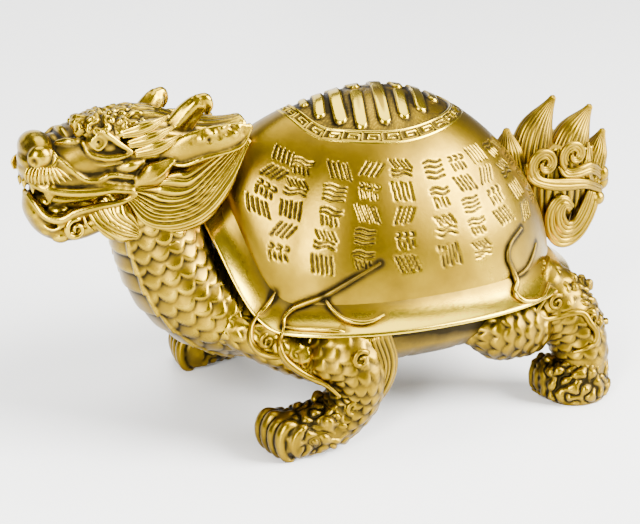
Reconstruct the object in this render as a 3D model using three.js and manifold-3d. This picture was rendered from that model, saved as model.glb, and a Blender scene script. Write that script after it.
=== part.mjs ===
// Dragon turtle figure: one hollow brass casting, standing on its four feet.
// Millimetres, +Z up. The head points along -X, and the origin is on the ground
// under the middle of the figure.

import * as THREE from 'three';
import { mergeVertices } from 'three/addons/utils/BufferGeometryUtils.js';
import Module from 'manifold-3d';

const wasm = await Module();
wasm.setup();

// Driving sizes
const LENGTH = 200;
const WIDTH = 100;
const HEIGHT = 106;

// The pose is drawn on a grid of this many steps along, across and up
const GRID = new THREE.Vector3(200, 100, 106);
const STEP = new THREE.Vector3(LENGTH, WIDTH, HEIGHT).divide(GRID);
const LINE = Math.cbrt(STEP.x * STEP.y * STEP.z);

// Relief that is set by itself
const SKIRT_THICKNESS = 3;
const MEDALLION_SINK = 1.2;
const STROKE_ARMS = 5;
const TENDRIL_RADIUS = 1.2;
const SCALE_HEIGHT = 1.7;
const PLATE_HEIGHT = 1.6;
const LOCK_DEPTH = 1.5;
const CROWN_HEIGHT = 1.6;
const TOES = 4;
const TOE_HEIGHT = 1.4;

// Shell proportions on the grid: plan outline, rim and dome
const PLAN_POWER = 2.3;
const CREASE_HALF = { x: 55, y: 41 };
const CREASE_HEIGHT = 43.5;
const SKIRT = { out: 7, down: 6.5 };
const DOME = { rise: 55.4, power: 1.857, root: 1.771, forward: 3 };
const NECK_ARCH = { rise: 30, halfAngle: THREE.MathUtils.degToRad(42) };
const MEDALLION = { x: -8, halfLength: 25.5, halfWidth: 22.5 };
const KEY_BAND = { ground: 0.74, line: 0.81, keys: 0.91 };
const STROKE_ROWS = [0.28, 0.56];
const STROKE_LEAN = 3;
const BELLY = { x: -2, top: 31, halfLength: 51, halfWidth: 39, depth: 13 };
const BELLY_ROWS = [0.96, 0.66];
const DOME_ROWS = [0.67, 0.83, 0.94, 1, 2];
const SHELL_SIDES = 36;

const ACROSS = new THREE.Vector3(0, 1, 0);
const UP = new THREE.Vector3(0, 0, 1);

const brass = new THREE.MeshStandardMaterial({
  name: 'cast_brass',
  color: 0xb58e3c,
  metalness: 1,
  roughness: 0.35,
});

function place(x, y, z) {
  return new THREE.Vector3(x, y, z).multiply(STEP);
}

function solid(geometry) {
  geometry.deleteAttribute('normal');
  geometry.deleteAttribute('uv');
  const merged = mergeVertices(geometry, 1e-3);
  return new wasm.Manifold(new wasm.Mesh({
    numProp: 3,
    vertProperties: Float32Array.from(merged.attributes.position.array),
    triVerts: Uint32Array.from(merged.index.array),
  }));
}

function reshape(geometry, move) {
  const position = geometry.attributes.position;
  const point = new THREE.Vector3();
  for (let i = 0; i < position.count; i += 1) {
    point.fromBufferAttribute(position, i);
    const moved = move(point);
    position.setXYZ(i, moved.x, moved.y, moved.z);
  }
  return geometry;
}

// A closed oval limb along a path. Each size is the half width across and the half depth,
// and relief, if given, lifts the point of column i and row k outwards.
function limb(path, sizes, { sides = 6, steps = 6, across = ACROSS, relief } = {}) {
  const curve = new THREE.CatmullRomCurve3(path.map((p) => new THREE.Vector3(...p)));
  const sections = new THREE.SplineCurve(sizes.map(([w, d]) => new THREE.Vector2(w, d)));
  const form = new THREE.CylinderGeometry(1, 1, 1, sides, steps);
  return solid(reshape(form, (point) => {
    const share = THREE.MathUtils.clamp(point.y + 0.5, 0, 1);
    const along = curve.getTangent(share);
    const side = across.clone().addScaledVector(along, -across.dot(along)).normalize();
    const depth = side.clone().cross(along);
    const section = sections.getPoint(share);
    const isRim = Math.hypot(point.x, point.z) > 0.5;
    const column = Math.round((Math.atan2(point.x, point.z) / (2 * Math.PI)) * sides + sides) % sides;
    const lift = relief && isRim ? relief(column, Math.round(share * steps), share) / LINE : 0;
    return curve.getPoint(share)
      .addScaledVector(side, point.x * (section.x + lift))
      .addScaledVector(depth, point.z * (section.y + lift))
      .multiply(STEP);
  }));
}

// An oval ball on the grid
function ball(centre, radii, sides = 6, rows = 4) {
  const form = new THREE.SphereGeometry(1, sides, rows);
  form.rotateX(Math.PI / 2);
  form.scale(...radii);
  return solid(reshape(form, (p) => place(p.x + centre[0], p.y + centre[1], p.z + centre[2])));
}

// A curl that winds inwards in the plane of the figure's side
function curl(centre, radius, turns, start, thickness, spin = 1) {
  const path = Array.from({ length: 6 }, (_, i) => {
    const share = i / 5;
    const angle = start + spin * turns * 2 * Math.PI * share;
    const reach = radius * (1 - 0.55 * share);
    return [centre[0] + reach * Math.cos(angle), centre[1], centre[2] + reach * Math.sin(angle)];
  });
  return limb(path, [[thickness, thickness], [thickness * 0.7, thickness * 0.5]], { sides: 4, steps: 5 });
}

// Relief patterns for a limb
const lockRelief = (column) => (column % 2 ? LOCK_DEPTH : 0);
const scaleRelief = (from, to) => (column, row, share) => {
  if (share < from || share > to) return 0;
  return (column + row) % 2 ? SCALE_HEIGHT / 2 : -SCALE_HEIGHT / 2;
};

// The same forms on the figure's left (-1) and right (+1) side
function bothSides(make) {
  return [-1, 1].flatMap((side) => make((x, y, z) => [x, side * y, z], side));
}

// Shell

const SHARE_LIMIT = 0.9999;

function planPoint(angle) {
  const bow = (value) => Math.sign(value) * Math.abs(value) ** (2 / PLAN_POWER);
  return { x: -bow(Math.cos(angle)), y: -bow(Math.sin(angle)) };
}

function neckArch(angle) {
  const turn = Math.abs(Math.atan2(Math.sin(angle), Math.cos(angle)));
  const share = Math.min(1, turn / NECK_ARCH.halfAngle);
  return NECK_ARCH.rise * Math.cos((Math.PI / 2) * share) ** 2;
}

function domeProfile(share) {
  return (1 - Math.min(SHARE_LIMIT, share) ** DOME.power) ** (1 / DOME.root);
}

// A point of the shell: share 0 is the top, 1 the crease and 2 the edge of the skirt
function shellPoint(angle, share) {
  const plan = planPoint(angle);
  const onDome = Math.min(1, share);
  const onSkirt = Math.max(0, share - 1);
  const profile = onDome === 1 ? 0 : domeProfile(onDome);
  const arch = neckArch(angle);
  return [
    (CREASE_HALF.x * onDome + SKIRT.out * onSkirt) * plan.x - DOME.forward * profile,
    (CREASE_HALF.y * onDome + SKIRT.out * onSkirt) * plan.y,
    CREASE_HEIGHT + arch + (DOME.rise - arch) * profile - SKIRT.down * onSkirt,
  ];
}

// The dome's height over a point of the plan
function domeHeight(x, y) {
  let profile = 1;
  for (let i = 0; i < 6; i += 1) {
    const ahead = Math.abs((x + DOME.forward * profile) / CREASE_HALF.x) ** PLAN_POWER;
    const aside = Math.abs(y / CREASE_HALF.y) ** PLAN_POWER;
    profile = domeProfile((ahead + aside) ** (1 / PLAN_POWER));
  }
  const ahead = Math.abs(x / CREASE_HALF.x) ** (PLAN_POWER / 2);
  const aside = Math.abs(y / CREASE_HALF.y) ** (PLAN_POWER / 2);
  const angle = Math.atan2(aside, x < 0 ? ahead : -ahead);
  const arch = neckArch(angle);
  return CREASE_HEIGHT + arch + (DOME.rise - arch) * profile;
}

function medallionPoint(angle, share, lift = 0) {
  const x = MEDALLION.x - MEDALLION.halfLength * share * Math.cos(angle);
  const y = -MEDALLION.halfWidth * share * Math.sin(angle);
  return [x, y, domeHeight(x, y) + lift];
}

function bellyPoint(angle, share) {
  const plan = planPoint(angle);
  const drop = BELLY.depth * Math.sqrt(1 - share ** 2);
  return [BELLY.x + BELLY.halfLength * share * plan.x, BELLY.halfWidth * share * plan.y, BELLY.top - drop];
}

// Shell and belly in one: medallion, dome, skirt and its underside, and the belly under it
function shell() {
  const rows = [];
  const medallionRow = (share, lift) => rows.push((angle) => medallionPoint(angle, share, lift(angle)));
  const sunk = () => -MEDALLION_SINK;
  const flush = () => 0;
  const lowered = (share, inset) => (angle) => {
    const [x, y, z] = shellPoint(angle, share);
    return [x * (1 - inset), y * (1 - inset), z - SKIRT_THICKNESS / STEP.z];
  };
  // bold leaning strokes on a sunk ground, then a thin line and a band of small keys
  for (const share of STROKE_ROWS) {
    medallionRow(share, (angle) => (
      Math.sin(STROKE_ARMS * angle + STROKE_LEAN * share) > 0 ? 0.2 : -MEDALLION_SINK
    ));
  }
  medallionRow(KEY_BAND.ground, sunk);
  medallionRow(KEY_BAND.line, flush);
  medallionRow(KEY_BAND.keys, (angle) => (
    Math.round((angle / (2 * Math.PI)) * SHELL_SIDES + SHELL_SIDES) % 2 ? 0 : -MEDALLION_SINK
  ));
  medallionRow(1, flush);
  for (const share of DOME_ROWS) {
    rows.push((angle) => shellPoint(angle, share));
  }
  rows.push(lowered(2, 0.015), lowered(1, 0.03));
  for (const share of BELLY_ROWS) rows.push((angle) => bellyPoint(angle, share));
  const outline = rows.map((_, i) => new THREE.Vector2(1, -i - 1));
  const profile = [new THREE.Vector2(0, 0), ...outline, new THREE.Vector2(0, -rows.length - 1)];
  profile.reverse();
  const form = new THREE.LatheGeometry(profile, SHELL_SIDES);
  form.rotateX(Math.PI / 2);
  const top = medallionPoint(0, 0, -MEDALLION_SINK);
  return solid(reshape(form, (p) => {
    const row = Math.round(-p.z);
    if (row === 0) return place(...top);
    if (row > rows.length) return place(...bellyPoint(0, 0));
    return place(...rows[row - 1](Math.atan2(p.y, p.x)));
  }));
}

// A raised line on the shell, drawn through (angle in degrees, share) pairs
function tendril(path, side) {
  const points = path.map(([degrees, share]) => {
    const [x, y, z] = shellPoint(THREE.MathUtils.degToRad(degrees), share);
    return [x, -side * y, z];
  });
  const thick = TENDRIL_RADIUS / LINE;
  return limb(points, [[thick, thick], [thick, thick], [thick * 0.6, thick * 0.6]], {
    sides: 3,
    steps: points.length - 1,
    across: UP,
  });
}

function shellTendrils() {
  return bothSides((_, side) => [
    tendril([[41, 1.95], [40, 1.4], [43, 1.02], [54, 1.0], [74, 0.95]], side),
    tendril([[50, 1.0], [57, 1.17], [66, 1.62], [75, 1.38]], side),
    tendril([[127, 0.94], [116, 0.98], [118, 1.12], [114, 1.6], [120, 1.98], [128, 1.7]], side),
  ]);
}

// Neck

const NECK_PATH = [
  [-40, 0, 35], [-52, 0, 35], [-61, 0, 38.5], [-69, 0, 47], [-74, 0, 59], [-78, 0, 71], [-82, 0, 82],
];
const NECK_SIZES = [[24, 13], [26, 13.5], [24.5, 14], [20, 14], [16.5, 13.5], [14, 12], [12, 10]];
const NECK_SIDES = 18;
const NECK_ROWS = 15;
const PLATE_COLUMNS = 2;

function neck() {
  const front = NECK_SIDES / 2;
  const scales = scaleRelief(0.18, 0.95);
  const relief = (column, row, share) => {
    const isPlate = Math.abs(column - front) <= PLATE_COLUMNS;
    return isPlate ? (row % 2) * PLATE_HEIGHT : scales(column, row, share);
  };
  return [limb(NECK_PATH, NECK_SIZES, { sides: NECK_SIDES, steps: NECK_ROWS, relief })];
}

// Head

const HEAD_SIDES = 12;

// The crown is knobbly, and the hair behind it lies in locks
function headRelief(column, row, share) {
  if (share < 0.42) return lockRelief(column);
  const isTop = column <= 1 || column === HEAD_SIDES - 1;
  return isTop && share < 0.68 && (column + row) % 2 ? CROWN_HEIGHT : 0;
}

function head() {
  const middle = [
    limb([[-46, 0, 92], [-58, 0, 88], [-68, 0, 88], [-78, 0, 89], [-88, 0, 90], [-97, 0, 89], [-106, 0, 87],
      [-113, 0, 86.6], [-116, 0, 86.5]],
    [[4, 3], [10, 9], [13, 11], [13, 12], [12.5, 11], [11.5, 9.5], [9.8, 7], [8.8, 6.4], [5.5, 4]],
    { sides: HEAD_SIDES, steps: 12, relief: headRelief }),
    ball([-111, 0, 93.2], [5, 4.6, 5], 6, 3),
    limb([[-80, 0, 75], [-92, 0, 71], [-102, 0, 67.5], [-109, 0, 69], [-113.4, 0, 74], [-114.2, 0, 79]],
      [[11, 6], [10.5, 5], [9, 4.2], [7.5, 3.8], [5.5, 2.4], [3, 1]], { sides: 6, steps: 7 }),
  ];
  return [...middle, ...bothSides(headSide)];
}

function headSide(at, side) {
  // the right horn stands a little ahead of the left one and lower
  const hornShift = side < 0 ? 0 : -6.5;
  const hornDrop = side < 0 ? 0 : -2;
  const horn = (x, y, z) => at(x + hornShift, y, z + hornDrop);
  return [
    ball(at(-110, 6, 92), [4.8, 3.6, 4.6], 6, 3),
    ball(at(-95.8, 10, 94), [3, 2.6, 3], 5, 3),
    // brow, upper and lower lip, fang
    limb([at(-101, 3, 98), at(-99.5, 7.5, 101.5), at(-92, 10, 100.4), at(-83, 11.5, 96)],
      [[2, 2], [3, 3], [3, 2.6], [1.5, 1.2]], { sides: 4, steps: 4 }),
    limb([at(-114.5, 3, 83.5), at(-112, 6.5, 82.4), at(-100, 10.3, 80.6), at(-86, 12.6, 80)],
      [[1.2, 1.4], [1.5, 1.8], [1.4, 1.6]], { sides: 4, steps: 3 }),
    limb([at(-113.6, 4, 77), at(-110, 7.3, 71.5), at(-104.5, 9, 73), at(-95, 11, 76.2), at(-84, 12.4, 78.4)],
      [[1, 1.2], [1.4, 1.8], [1.4, 1.6], [1.4, 1.6]], { sides: 3, steps: 4 }),
    limb([at(-108.6, 7.4, 83), at(-108.6, 7.4, 77)], [[1.8, 2.4], [0.5, 0.5]], { sides: 3, steps: 1 }),
    // upright horn with a hooked tip
    limb([horn(-70, 7, 93), horn(-66, 8, 99), horn(-62.5, 9, 103.4), horn(-61.6, 9.5, 105.8)],
      [[3, 7], [2.8, 4.6], [2.4, 2.8], [0.8, 0.8]], { sides: 6, steps: 4 }),
    // ear with a knobbly upper edge, cheek leaf
    limb([at(-77, 12, 85.5), at(-68, 16, 89.5), at(-59, 18, 93.2), at(-51, 18, 96)],
      [[1.2, 2.4], [1.6, 5], [1.6, 4.6], [0.8, 1.4]],
      { sides: 4, steps: 5, relief: (column, row) => (column === 2 && row % 2 ? CROWN_HEIGHT : 0) }),
    limb([at(-80.6, 12, 78.5), at(-78, 14.5, 84), at(-74, 15.8, 88.6)],
      [[1.2, 2], [2, 4.4], [0.8, 1.2]], { sides: 4, steps: 2 }),
    // locks behind the eye, strands under the jaw, beard curl
    limb([at(-88, 10.5, 90), at(-80, 12.5, 93), at(-69.5, 13, 97)],
      [[1.6, 3.4], [2, 4.4], [1, 1.6]], { sides: 6, steps: 3, relief: lockRelief }),
    limb([at(-92.5, 9, 77), at(-90, 10.8, 71.5), at(-87.4, 10.6, 66)],
      [[1.4, 6], [2, 5.4], [1, 2.4]], { sides: 6, steps: 2, relief: lockRelief }),
    curl(at(-101.5, 9, 67), 3.4, 0.95, 1.2, 1.4),
    // mane sweeping down and back up to a point
    limb([at(-85, 11, 79.5), at(-78, 13.5, 75), at(-68, 15, 75.4), at(-59, 15, 81), at(-50.4, 14, 91.4)],
      [[2, 2.5], [3, 8.4], [3.2, 9.6], [2.8, 8], [0.8, 1]], { sides: 14, steps: 6, relief: lockRelief }),
  ];
}

// Legs

const FORE_LEG = {
  path: [
    [-34, 31, 33], [-30.8, 36.5, 29.4], [-27.4, 40, 23], [-28, 40, 15.4], [-34, 39, 9], [-43, 38.5, 7],
    [-52, 38.5, 6.4],
  ],
  sizes: [[8, 15], [9.5, 13.6], [9.5, 9.6], [8.5, 8], [8.6, 7.8], [9, 8], [8.4, 6.8]],
  toes: [-50, 38.5, 6.7],
};
const HIND_LEG = {
  path: [[40, 26, 34], [47, 30, 29], [52, 33.5, 22], [53.5, 36.5, 13.5], [52, 38.5, 4]],
  sizes: [[10, 12], [10.5, 11], [10, 9.6], [9, 8.6], [9, 10]],
  toes: [45.4, 38.5, 6.7],
};

// A scaly leg, with toes rolled over the foot's front as ribs
function leg(at, { path, sizes, toes: [x, y, z] }) {
  const half = 8.6;
  return [
    limb(path.map((p) => at(...p)), sizes, { sides: 10, steps: 8, relief: scaleRelief(0.15, 0.7) }),
    limb([at(x, y - half, z), at(x, y, z), at(x, y + half, z)], [[6.4, 5.4], [6.8, 6.2], [6.4, 5.4]],
      { sides: 6, steps: 2 * TOES, across: UP, relief: (column, row) => (row % 2 ? TOE_HEIGHT : 0) }),
  ];
}

function foreLeg(at) {
  return [
    ...leg(at, FORE_LEG),
    // scaly shoulder between the neck and the leg
    limb([at(-61, 21, 36), at(-50, 28, 31), at(-40, 32, 27), at(-31, 36, 24)],
      [[6, 5.5], [8.5, 6.8], [8.5, 7.2], [6, 6.4]], { steps: 3, relief: scaleRelief(0.1, 0.9) }),
    // tuft behind the elbow
    limb([at(-22, 44, 35), at(-19.5, 45, 26), at(-22.5, 44, 17.5), at(-29, 43, 10.5)],
      [[2, 4.4], [2.6, 4], [2.4, 3.4], [0.8, 1]], { sides: 8, steps: 4, relief: lockRelief }),
    curl(at(-27, 48, 27.5), 3, 0.95, 0.4, 1.2),
  ];
}

function hindLeg(at) {
  return [
    ...leg(at, HIND_LEG),
    ball(at(51, 38.5, 4.6), [11, 8.8, 9], 8, 4),
    ball(at(30, 33, 25), [17, 9, 9.5], 8, 4),
  ];
}

// Tail: a flat fan of flames with curls on both faces

function tail() {
  const flame = (root, bend, tip, half) => limb([root, bend, tip], [[6, half], [5, half * 0.9], [1, 0.9]], {
    steps: 3,
    relief: (column, row, share) => lockRelief(column) * (1 - share),
  });
  return [
    ball([65, 0, 57], [16.5, 8.4, 18], 10, 6),
    flame([54, 0, 62], [56, 0, 76], [62.5, 0, 88], 7),
    flame([66, 0, 64], [70.5, 0, 74], [76.6, 0, 83.2], 6.6),
    flame([76, 0, 58], [79, 0, 67], [82.2, 0, 74.4], 4.4),
    flame([48, 0, 62], [46, 0, 72], [45.5, 0, 79], 5),
    ball([81, 0, 55.5], [3.4, 5, 4], 6, 3),
    ...bothSides((at) => [
      limb([at(80, 6, 52), at(72, 8.4, 56.5), at(62, 8.6, 57.5), at(54, 8.4, 61.5), at(50.6, 7.6, 68)],
        [[1.4, 3.2], [1.8, 3.6], [1.8, 3], [1.4, 1.6]], { sides: 4, steps: 4 }),
      curl(at(54, 7, 69), 4, 0.95, Math.PI, 1.6, -1),
      curl(at(65, 7, 69), 4.2, 0.95, Math.PI * 1.4, 1.6, -1),
      limb([at(79, 5, 51), at(72, 8, 44), at(64.5, 8.4, 41), at(58.5, 8.2, 46), at(59, 8.4, 53)],
        [[1.4, 2], [1.8, 2.6], [1.8, 2.6], [1.4, 1.4]], { sides: 4, steps: 5 }),
    ]),
  ];
}

// One casting: everything is joined, the soles are cut flat, and the figure is set on its origin

function joined(forms) {
  let parts = forms;
  while (parts.length > 1) {
    const next = [];
    for (let i = 0; i < parts.length; i += 2) {
      next.push(i + 1 < parts.length ? parts[i].add(parts[i + 1]) : parts[i]);
    }
    parts = next;
  }
  return parts[0];
}

function dragonTurtle() {
  const whole = joined([
    shell(),
    ...shellTendrils(),
    ...neck(),
    ...head(),
    ...bothSides(foreLeg),
    ...bothSides(hindLeg),
    ...tail(),
  ]);
  const floor = new THREE.BoxGeometry(LENGTH * 2, WIDTH * 2, HEIGHT);
  floor.translate(0, 0, -HEIGHT / 2);
  const mesh = whole.subtract(solid(floor)).getMesh();
  const geometry = new THREE.BufferGeometry();
  geometry.setAttribute('position', new THREE.BufferAttribute(Float32Array.from(mesh.vertProperties), 3));
  geometry.setIndex(new THREE.BufferAttribute(Uint32Array.from(mesh.triVerts), 1));
  geometry.computeBoundingBox();
  const box = geometry.boundingBox;
  const middle = box.getCenter(new THREE.Vector3());
  geometry.translate(-middle.x, -middle.y, -box.min.z);
  geometry.computeVertexNormals();
  const figure = new THREE.Mesh(geometry, brass);
  figure.name = 'dragon_turtle';
  return figure;
}

const model = new THREE.Group();
model.add(dragonTurtle());

export default model;
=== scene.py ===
import math

import bmesh
import bpy
import numpy as np
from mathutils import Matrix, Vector


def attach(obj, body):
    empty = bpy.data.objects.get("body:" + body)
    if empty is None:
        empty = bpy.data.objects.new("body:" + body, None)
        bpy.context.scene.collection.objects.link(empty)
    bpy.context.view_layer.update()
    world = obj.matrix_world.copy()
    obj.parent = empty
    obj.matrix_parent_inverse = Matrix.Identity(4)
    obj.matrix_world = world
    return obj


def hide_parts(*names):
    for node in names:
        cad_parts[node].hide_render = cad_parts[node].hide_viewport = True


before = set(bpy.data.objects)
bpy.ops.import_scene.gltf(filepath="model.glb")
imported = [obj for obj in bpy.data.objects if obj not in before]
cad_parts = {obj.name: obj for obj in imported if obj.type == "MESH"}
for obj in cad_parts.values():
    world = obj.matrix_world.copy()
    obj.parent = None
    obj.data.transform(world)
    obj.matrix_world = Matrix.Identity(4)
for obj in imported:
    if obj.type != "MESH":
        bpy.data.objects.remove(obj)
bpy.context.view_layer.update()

# The figure is drawn in millimetres. The drawing's zero is the middle of the shell,
# which lies this far behind the middle of the whole figure.
MM = 0.001
SHELL_BEHIND_MIDDLE = 16.094
TAU = 2 * math.pi

# The photograph's point of view, mm
VIEW_AZIMUTH = math.radians(25)
VIEW_ELEVATION = math.radians(20)
VIEW_DISTANCE = 625
VIEW_TARGET = Vector((-4.2, 0, 43.5))
VIEW_LENS = 112.5
VIEW_SENSOR = 36

# The shell, mm. Pairs are half the length and half the width, and powers bend its curves.
PLAN_POWER = 2.3
CREASE_HALF = (55.0, 41.0)
CREASE_HEIGHT = 43.5
SKIRT_OUT = 7.0
SKIRT_DOWN = 6.5
SKIRT_THICKNESS = 3.0
SKIRT_HOLLOW = 0.5
LIP = 1.1
DOME_RISE = 55.4
DOME_POWER = 1.857
DOME_ROOT = 1.771
DOME_FORWARD = 3.0
ARCH_RISE = 30.0
ARCH_HALF_ANGLE = math.radians(42)
BELLY_X = -2.0
BELLY_TOP = 31.0
BELLY_HALF = (51.0, 39.0)
BELLY_DEPTH = 13.0
BELLY_PLATE = 17.0

# Columns of strokes round the shell, mm
COLUMN_HALF_WIDTH = 3.7
STROKE_HALF_WIDTH = 0.25
STROKE_DEPTH = 0.36

# The medallion on top, mm, with its edges as shares of its half width: first its sunk field's,
# then the key band's and the outer rim's. The mean is that of its oval's half width, and the
# rims' half widths are those of the lines inside and outside the band.
MEDALLION_X = -3.5
MEDALLION_HALF = (30.0, 23.5)
MEDALLION_MEAN = 26.0
FIELD_EDGE = 0.855
BAND_INNER = 0.88
BAND_OUTER = 0.972
OUTER_RIM = 0.986
FIELD_SINK = 0.8
KEY_SINK = 0.4
RIM_RISE = 0.2
RIM_HALF_WIDTHS = (0.26, 0.24)
KEY_COUNT = 28

# The throat carries plates instead of scales: half the turn that they cover, and how many
PLATE_HALF_TURN = 0.6
PLATES = 13.5

# The sole lies this far above the ground, so that nothing dips below it, mm
SOLE_LEVEL = 0.02

# How rough brow, feet and thighs are: the size and the depth of the lumps, mm
BROW_LUMPS = (3.4, 0.8)
FOOT_LUMPS = (4.8, 0.95)
THIGH_LUMPS = (4.6, 1.3)
KNOB_SIZE = 2.4

# The photograph shows the far horn further forward and lower than the near one, and the far
# brow, eye, locks and ear further back or lower: shifts in mm. The far ear falls by a share of
# the way from its root, whose place along the figure is given in mm.
FAR_HORN_SHIFT = (-6.5, -2)
FAR_BROW_BACK = 3.4
FAR_LOCKS_LOW = -4
FAR_EAR_FALL = 0.26
EAR_ROOT = -77

# Mesh fineness: sides round the shell, rows down it, and the cell sizes of the cast skins, mm
SHELL_SIDES = 640
DOME_ROWS = 126
SKIRT_ROWS = 12
LIP_ROWS = 7
UNDER_ROWS = 4
BELLY_ROWS = 20
MEDALLION_SIDES = 504
MEDALLION_ROWS = 84
MEDALLION_BORDER_ROWS = 34
HEAD_CELL = 0.42
FOOT_CELL = 0.5
THIGH_CELL = 0.6
HEAD_TRIANGLES = 120000
FOOT_TRIANGLES = 22000
THIGH_TRIANGLES = 16000

# The ends of a limb bulge by this share of their half width, counted up to so many mm
CAP_BULGE = 0.6
CAP_WIDEST = 2.0

# Wear is told from how far a point stands out from its surroundings: rounds of smoothing that
# give the surroundings, and the most that counts, mm
WEAR_SCALES = (("fine_crest", 8, 0.1), ("broad_crest", 60, 0.25))
SMOOTHING = 0.65
# Patina of each piece, what is added to it in places (painted shade on undersides and under the belly, patina
# along the raised lines and on the medallion's ground), and what brightens it (rubbing, and on the skirt's
# edge also a painted highlight), mm
PATINA = {
    "shell": 0.05, "medallion": -0.15, "neck": 0.12, "head": 0.0, "hair": -0.1, "leg": 0.45, "tail": 0.4,
}
UNDERSIDE_PAINTED_SHADE = 0.3
LINE_PATINA = 0.3
LINE_PATINA_WIDTH = 0.9
BELLY_PAINTED_SHADE = 0.2
GROUND_PATINA = 0.1
SKIRT_RUB_AND_HIGHLIGHT = 0.3
STROKE_RUB = 0.16

# Brass: the size of its patches of patina and of its cast grain, mm. The real grain, about
# 0.3 mm, is too fine to show, so it is drawn coarser.
PATCH_SIZE = 100 / 9
GRAIN_SIZE = 10 / 9
# Roughness of the patina and of rubbed brass, how much the grain varies it, and how far the
# grain stands up, in mm and as a share
PATINA_ROUGHNESS = 0.48
RUBBED_ROUGHNESS = 0.21
GRAIN_ROUGHNESS = 0.12
GRAIN_HEIGHT = 0.1
GRAIN_STRENGTH = 0.25
# How much the fine crests and the patches count beside the broad crests, and the sums at which the brass
# takes its darkest tone (patina and painted shade) and its brightest (rubbed brass and painted highlight)
FINE_COUNTS = 3.0
PATCHES_COUNT = 0.9
WEAR_AND_LIGHT_RANGE = (-0.35, 1.25)
# Colours from the hollows to the crests
BRASS_TONES = ((0.0, "#1E1808"), (0.25, "#4C3D14"), (0.5, "#775E09"), (0.75, "#93780A"), (1.0, "#D0B125"))

# Studio: each lamp's place and size in metres and its power, the point they face, the overhead
# light's strength, width and lean, the light of the room, and the floor
LAMPS = (
    ("left_softbox", (-0.74, -0.76, 0.5), (0.3, 0.75), 38),
    ("right_softbox", (0.82, -0.6, 0.6), (0.7, 0.8), 98),
    ("back_panel", (-0.3, 1.6, 0.66), (2.4, 1.15), 24),
)
LAMPS_FACE = Vector((0, 0, 0.06))
OVERHEAD_STRENGTH = 3.9
OVERHEAD_WIDTH = math.radians(50)
OVERHEAD_LEAN = (math.radians(-9), math.radians(10), 0)
ROOM_STRENGTH = 0.2
FLOOR_SIZE = 4
FLOOR_COLOUR = "#F4F4F2"
FLOOR_ROUGHNESS = 0.35


# Shared helpers

def in_frame(points):
    return (np.asarray(points, float) + (SHELL_BEHIND_MIDDLE, 0.0, 0.0)) * MM


def in_drawing(points):
    return points / MM - (SHELL_BEHIND_MIDDLE, 0, 0)


def deselect():
    for obj in list(bpy.context.selected_objects):
        obj.select_set(False)


def make_active(obj):
    deselect()
    obj.select_set(True)
    bpy.context.view_layer.objects.active = obj


# Makes one of the plain shapes
def plain(make, **settings):
    deselect()
    make(**settings)
    return bpy.context.object


# Edits the whole of an object's mesh
def edit_all(obj, edit, **settings):
    make_active(obj)
    bpy.ops.object.mode_set(mode="EDIT")
    bpy.ops.mesh.select_all(action="SELECT")
    edit(**settings)
    bpy.ops.object.mode_set(mode="OBJECT")


def apply_modifier(obj, kind, **settings):
    make_active(obj)
    modifier = obj.modifiers.new("step", kind)
    for name, value in settings.items():
        setattr(modifier, name, value)
    bpy.ops.object.modifier_apply(modifier=modifier.name)


def vectors_of(mesh, kind):
    flat = np.empty(len(mesh.vertices) * 3)
    mesh.vertices.foreach_get(kind, flat)
    return flat.reshape(-1, 3)


def points_of(mesh):
    return vectors_of(mesh, "co")


def put_points(mesh, points):
    mesh.vertices.foreach_set("co", np.ascontiguousarray(points, dtype=np.float32).ravel())
    mesh.update()


def unit(vectors):
    return vectors / np.maximum(np.linalg.norm(vectors, axis=-1, keepdims=True), 1e-12)


def smooth_step(low, high, values):
    share = np.clip((values - low) / (high - low), 0, 1)
    return share * share * (3 - 2 * share)


# A smooth curve through a path's points, and its direction, at shares of its length
def curve_at(path, shares):
    points = np.asarray(path, float)
    knots = np.vstack([2 * points[0] - points[1], points, 2 * points[-1] - points[-2]])
    spans = len(points) - 1
    place = np.clip(np.asarray(shares, float), 0, 1) * spans
    index = np.minimum(place.astype(int), spans - 1)
    w = (place - index)[:, None]
    p0, p1, p2, p3 = (knots[index + k] for k in range(4))
    d0 = np.linalg.norm(p1 - p0, axis=1, keepdims=True) ** 0.5
    d1 = np.linalg.norm(p2 - p1, axis=1, keepdims=True) ** 0.5
    d2 = np.linalg.norm(p3 - p2, axis=1, keepdims=True) ** 0.5
    t1 = ((p1 - p0) / d0 - (p2 - p0) / (d0 + d1) + (p2 - p1) / d1) * d1
    t2 = ((p2 - p1) / d1 - (p3 - p1) / (d1 + d2) + (p3 - p2) / d2) * d1
    c2 = -3 * p1 + 3 * p2 - 2 * t1 - t2
    c3 = 2 * p1 - 2 * p2 + t1 + t2
    return p1 + t1 * w + c2 * w ** 2 + c3 * w ** 3, unit(t1 + 2 * c2 * w + 3 * c3 * w ** 2)


# Half widths and half depths at shares of a limb's length
def sections_at(sizes, shares):
    points = np.asarray(sizes, float)
    last = len(points) - 1
    place = np.clip(shares, 0, 1) * last
    index = np.minimum(place.astype(int), last - 1)
    w = (place - index)[:, None]
    p0, p1 = points[np.maximum(index - 1, 0)], points[index]
    p2, p3 = points[index + 1], points[np.minimum(index + 2, last)]
    v1, v2 = (p2 - p0) / 2, (p3 - p1) / 2
    both = (2 * p1 - 2 * p2 + v1 + v2) * w ** 3 + (-3 * p1 + 3 * p2 - 2 * v1 - v2) * w ** 2 + v1 * w + p1
    return np.maximum(both, 0.05)


# Plain rods and balls that forms are bent and stretched from, each made once
_rods = {}
_balls = {}


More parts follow.
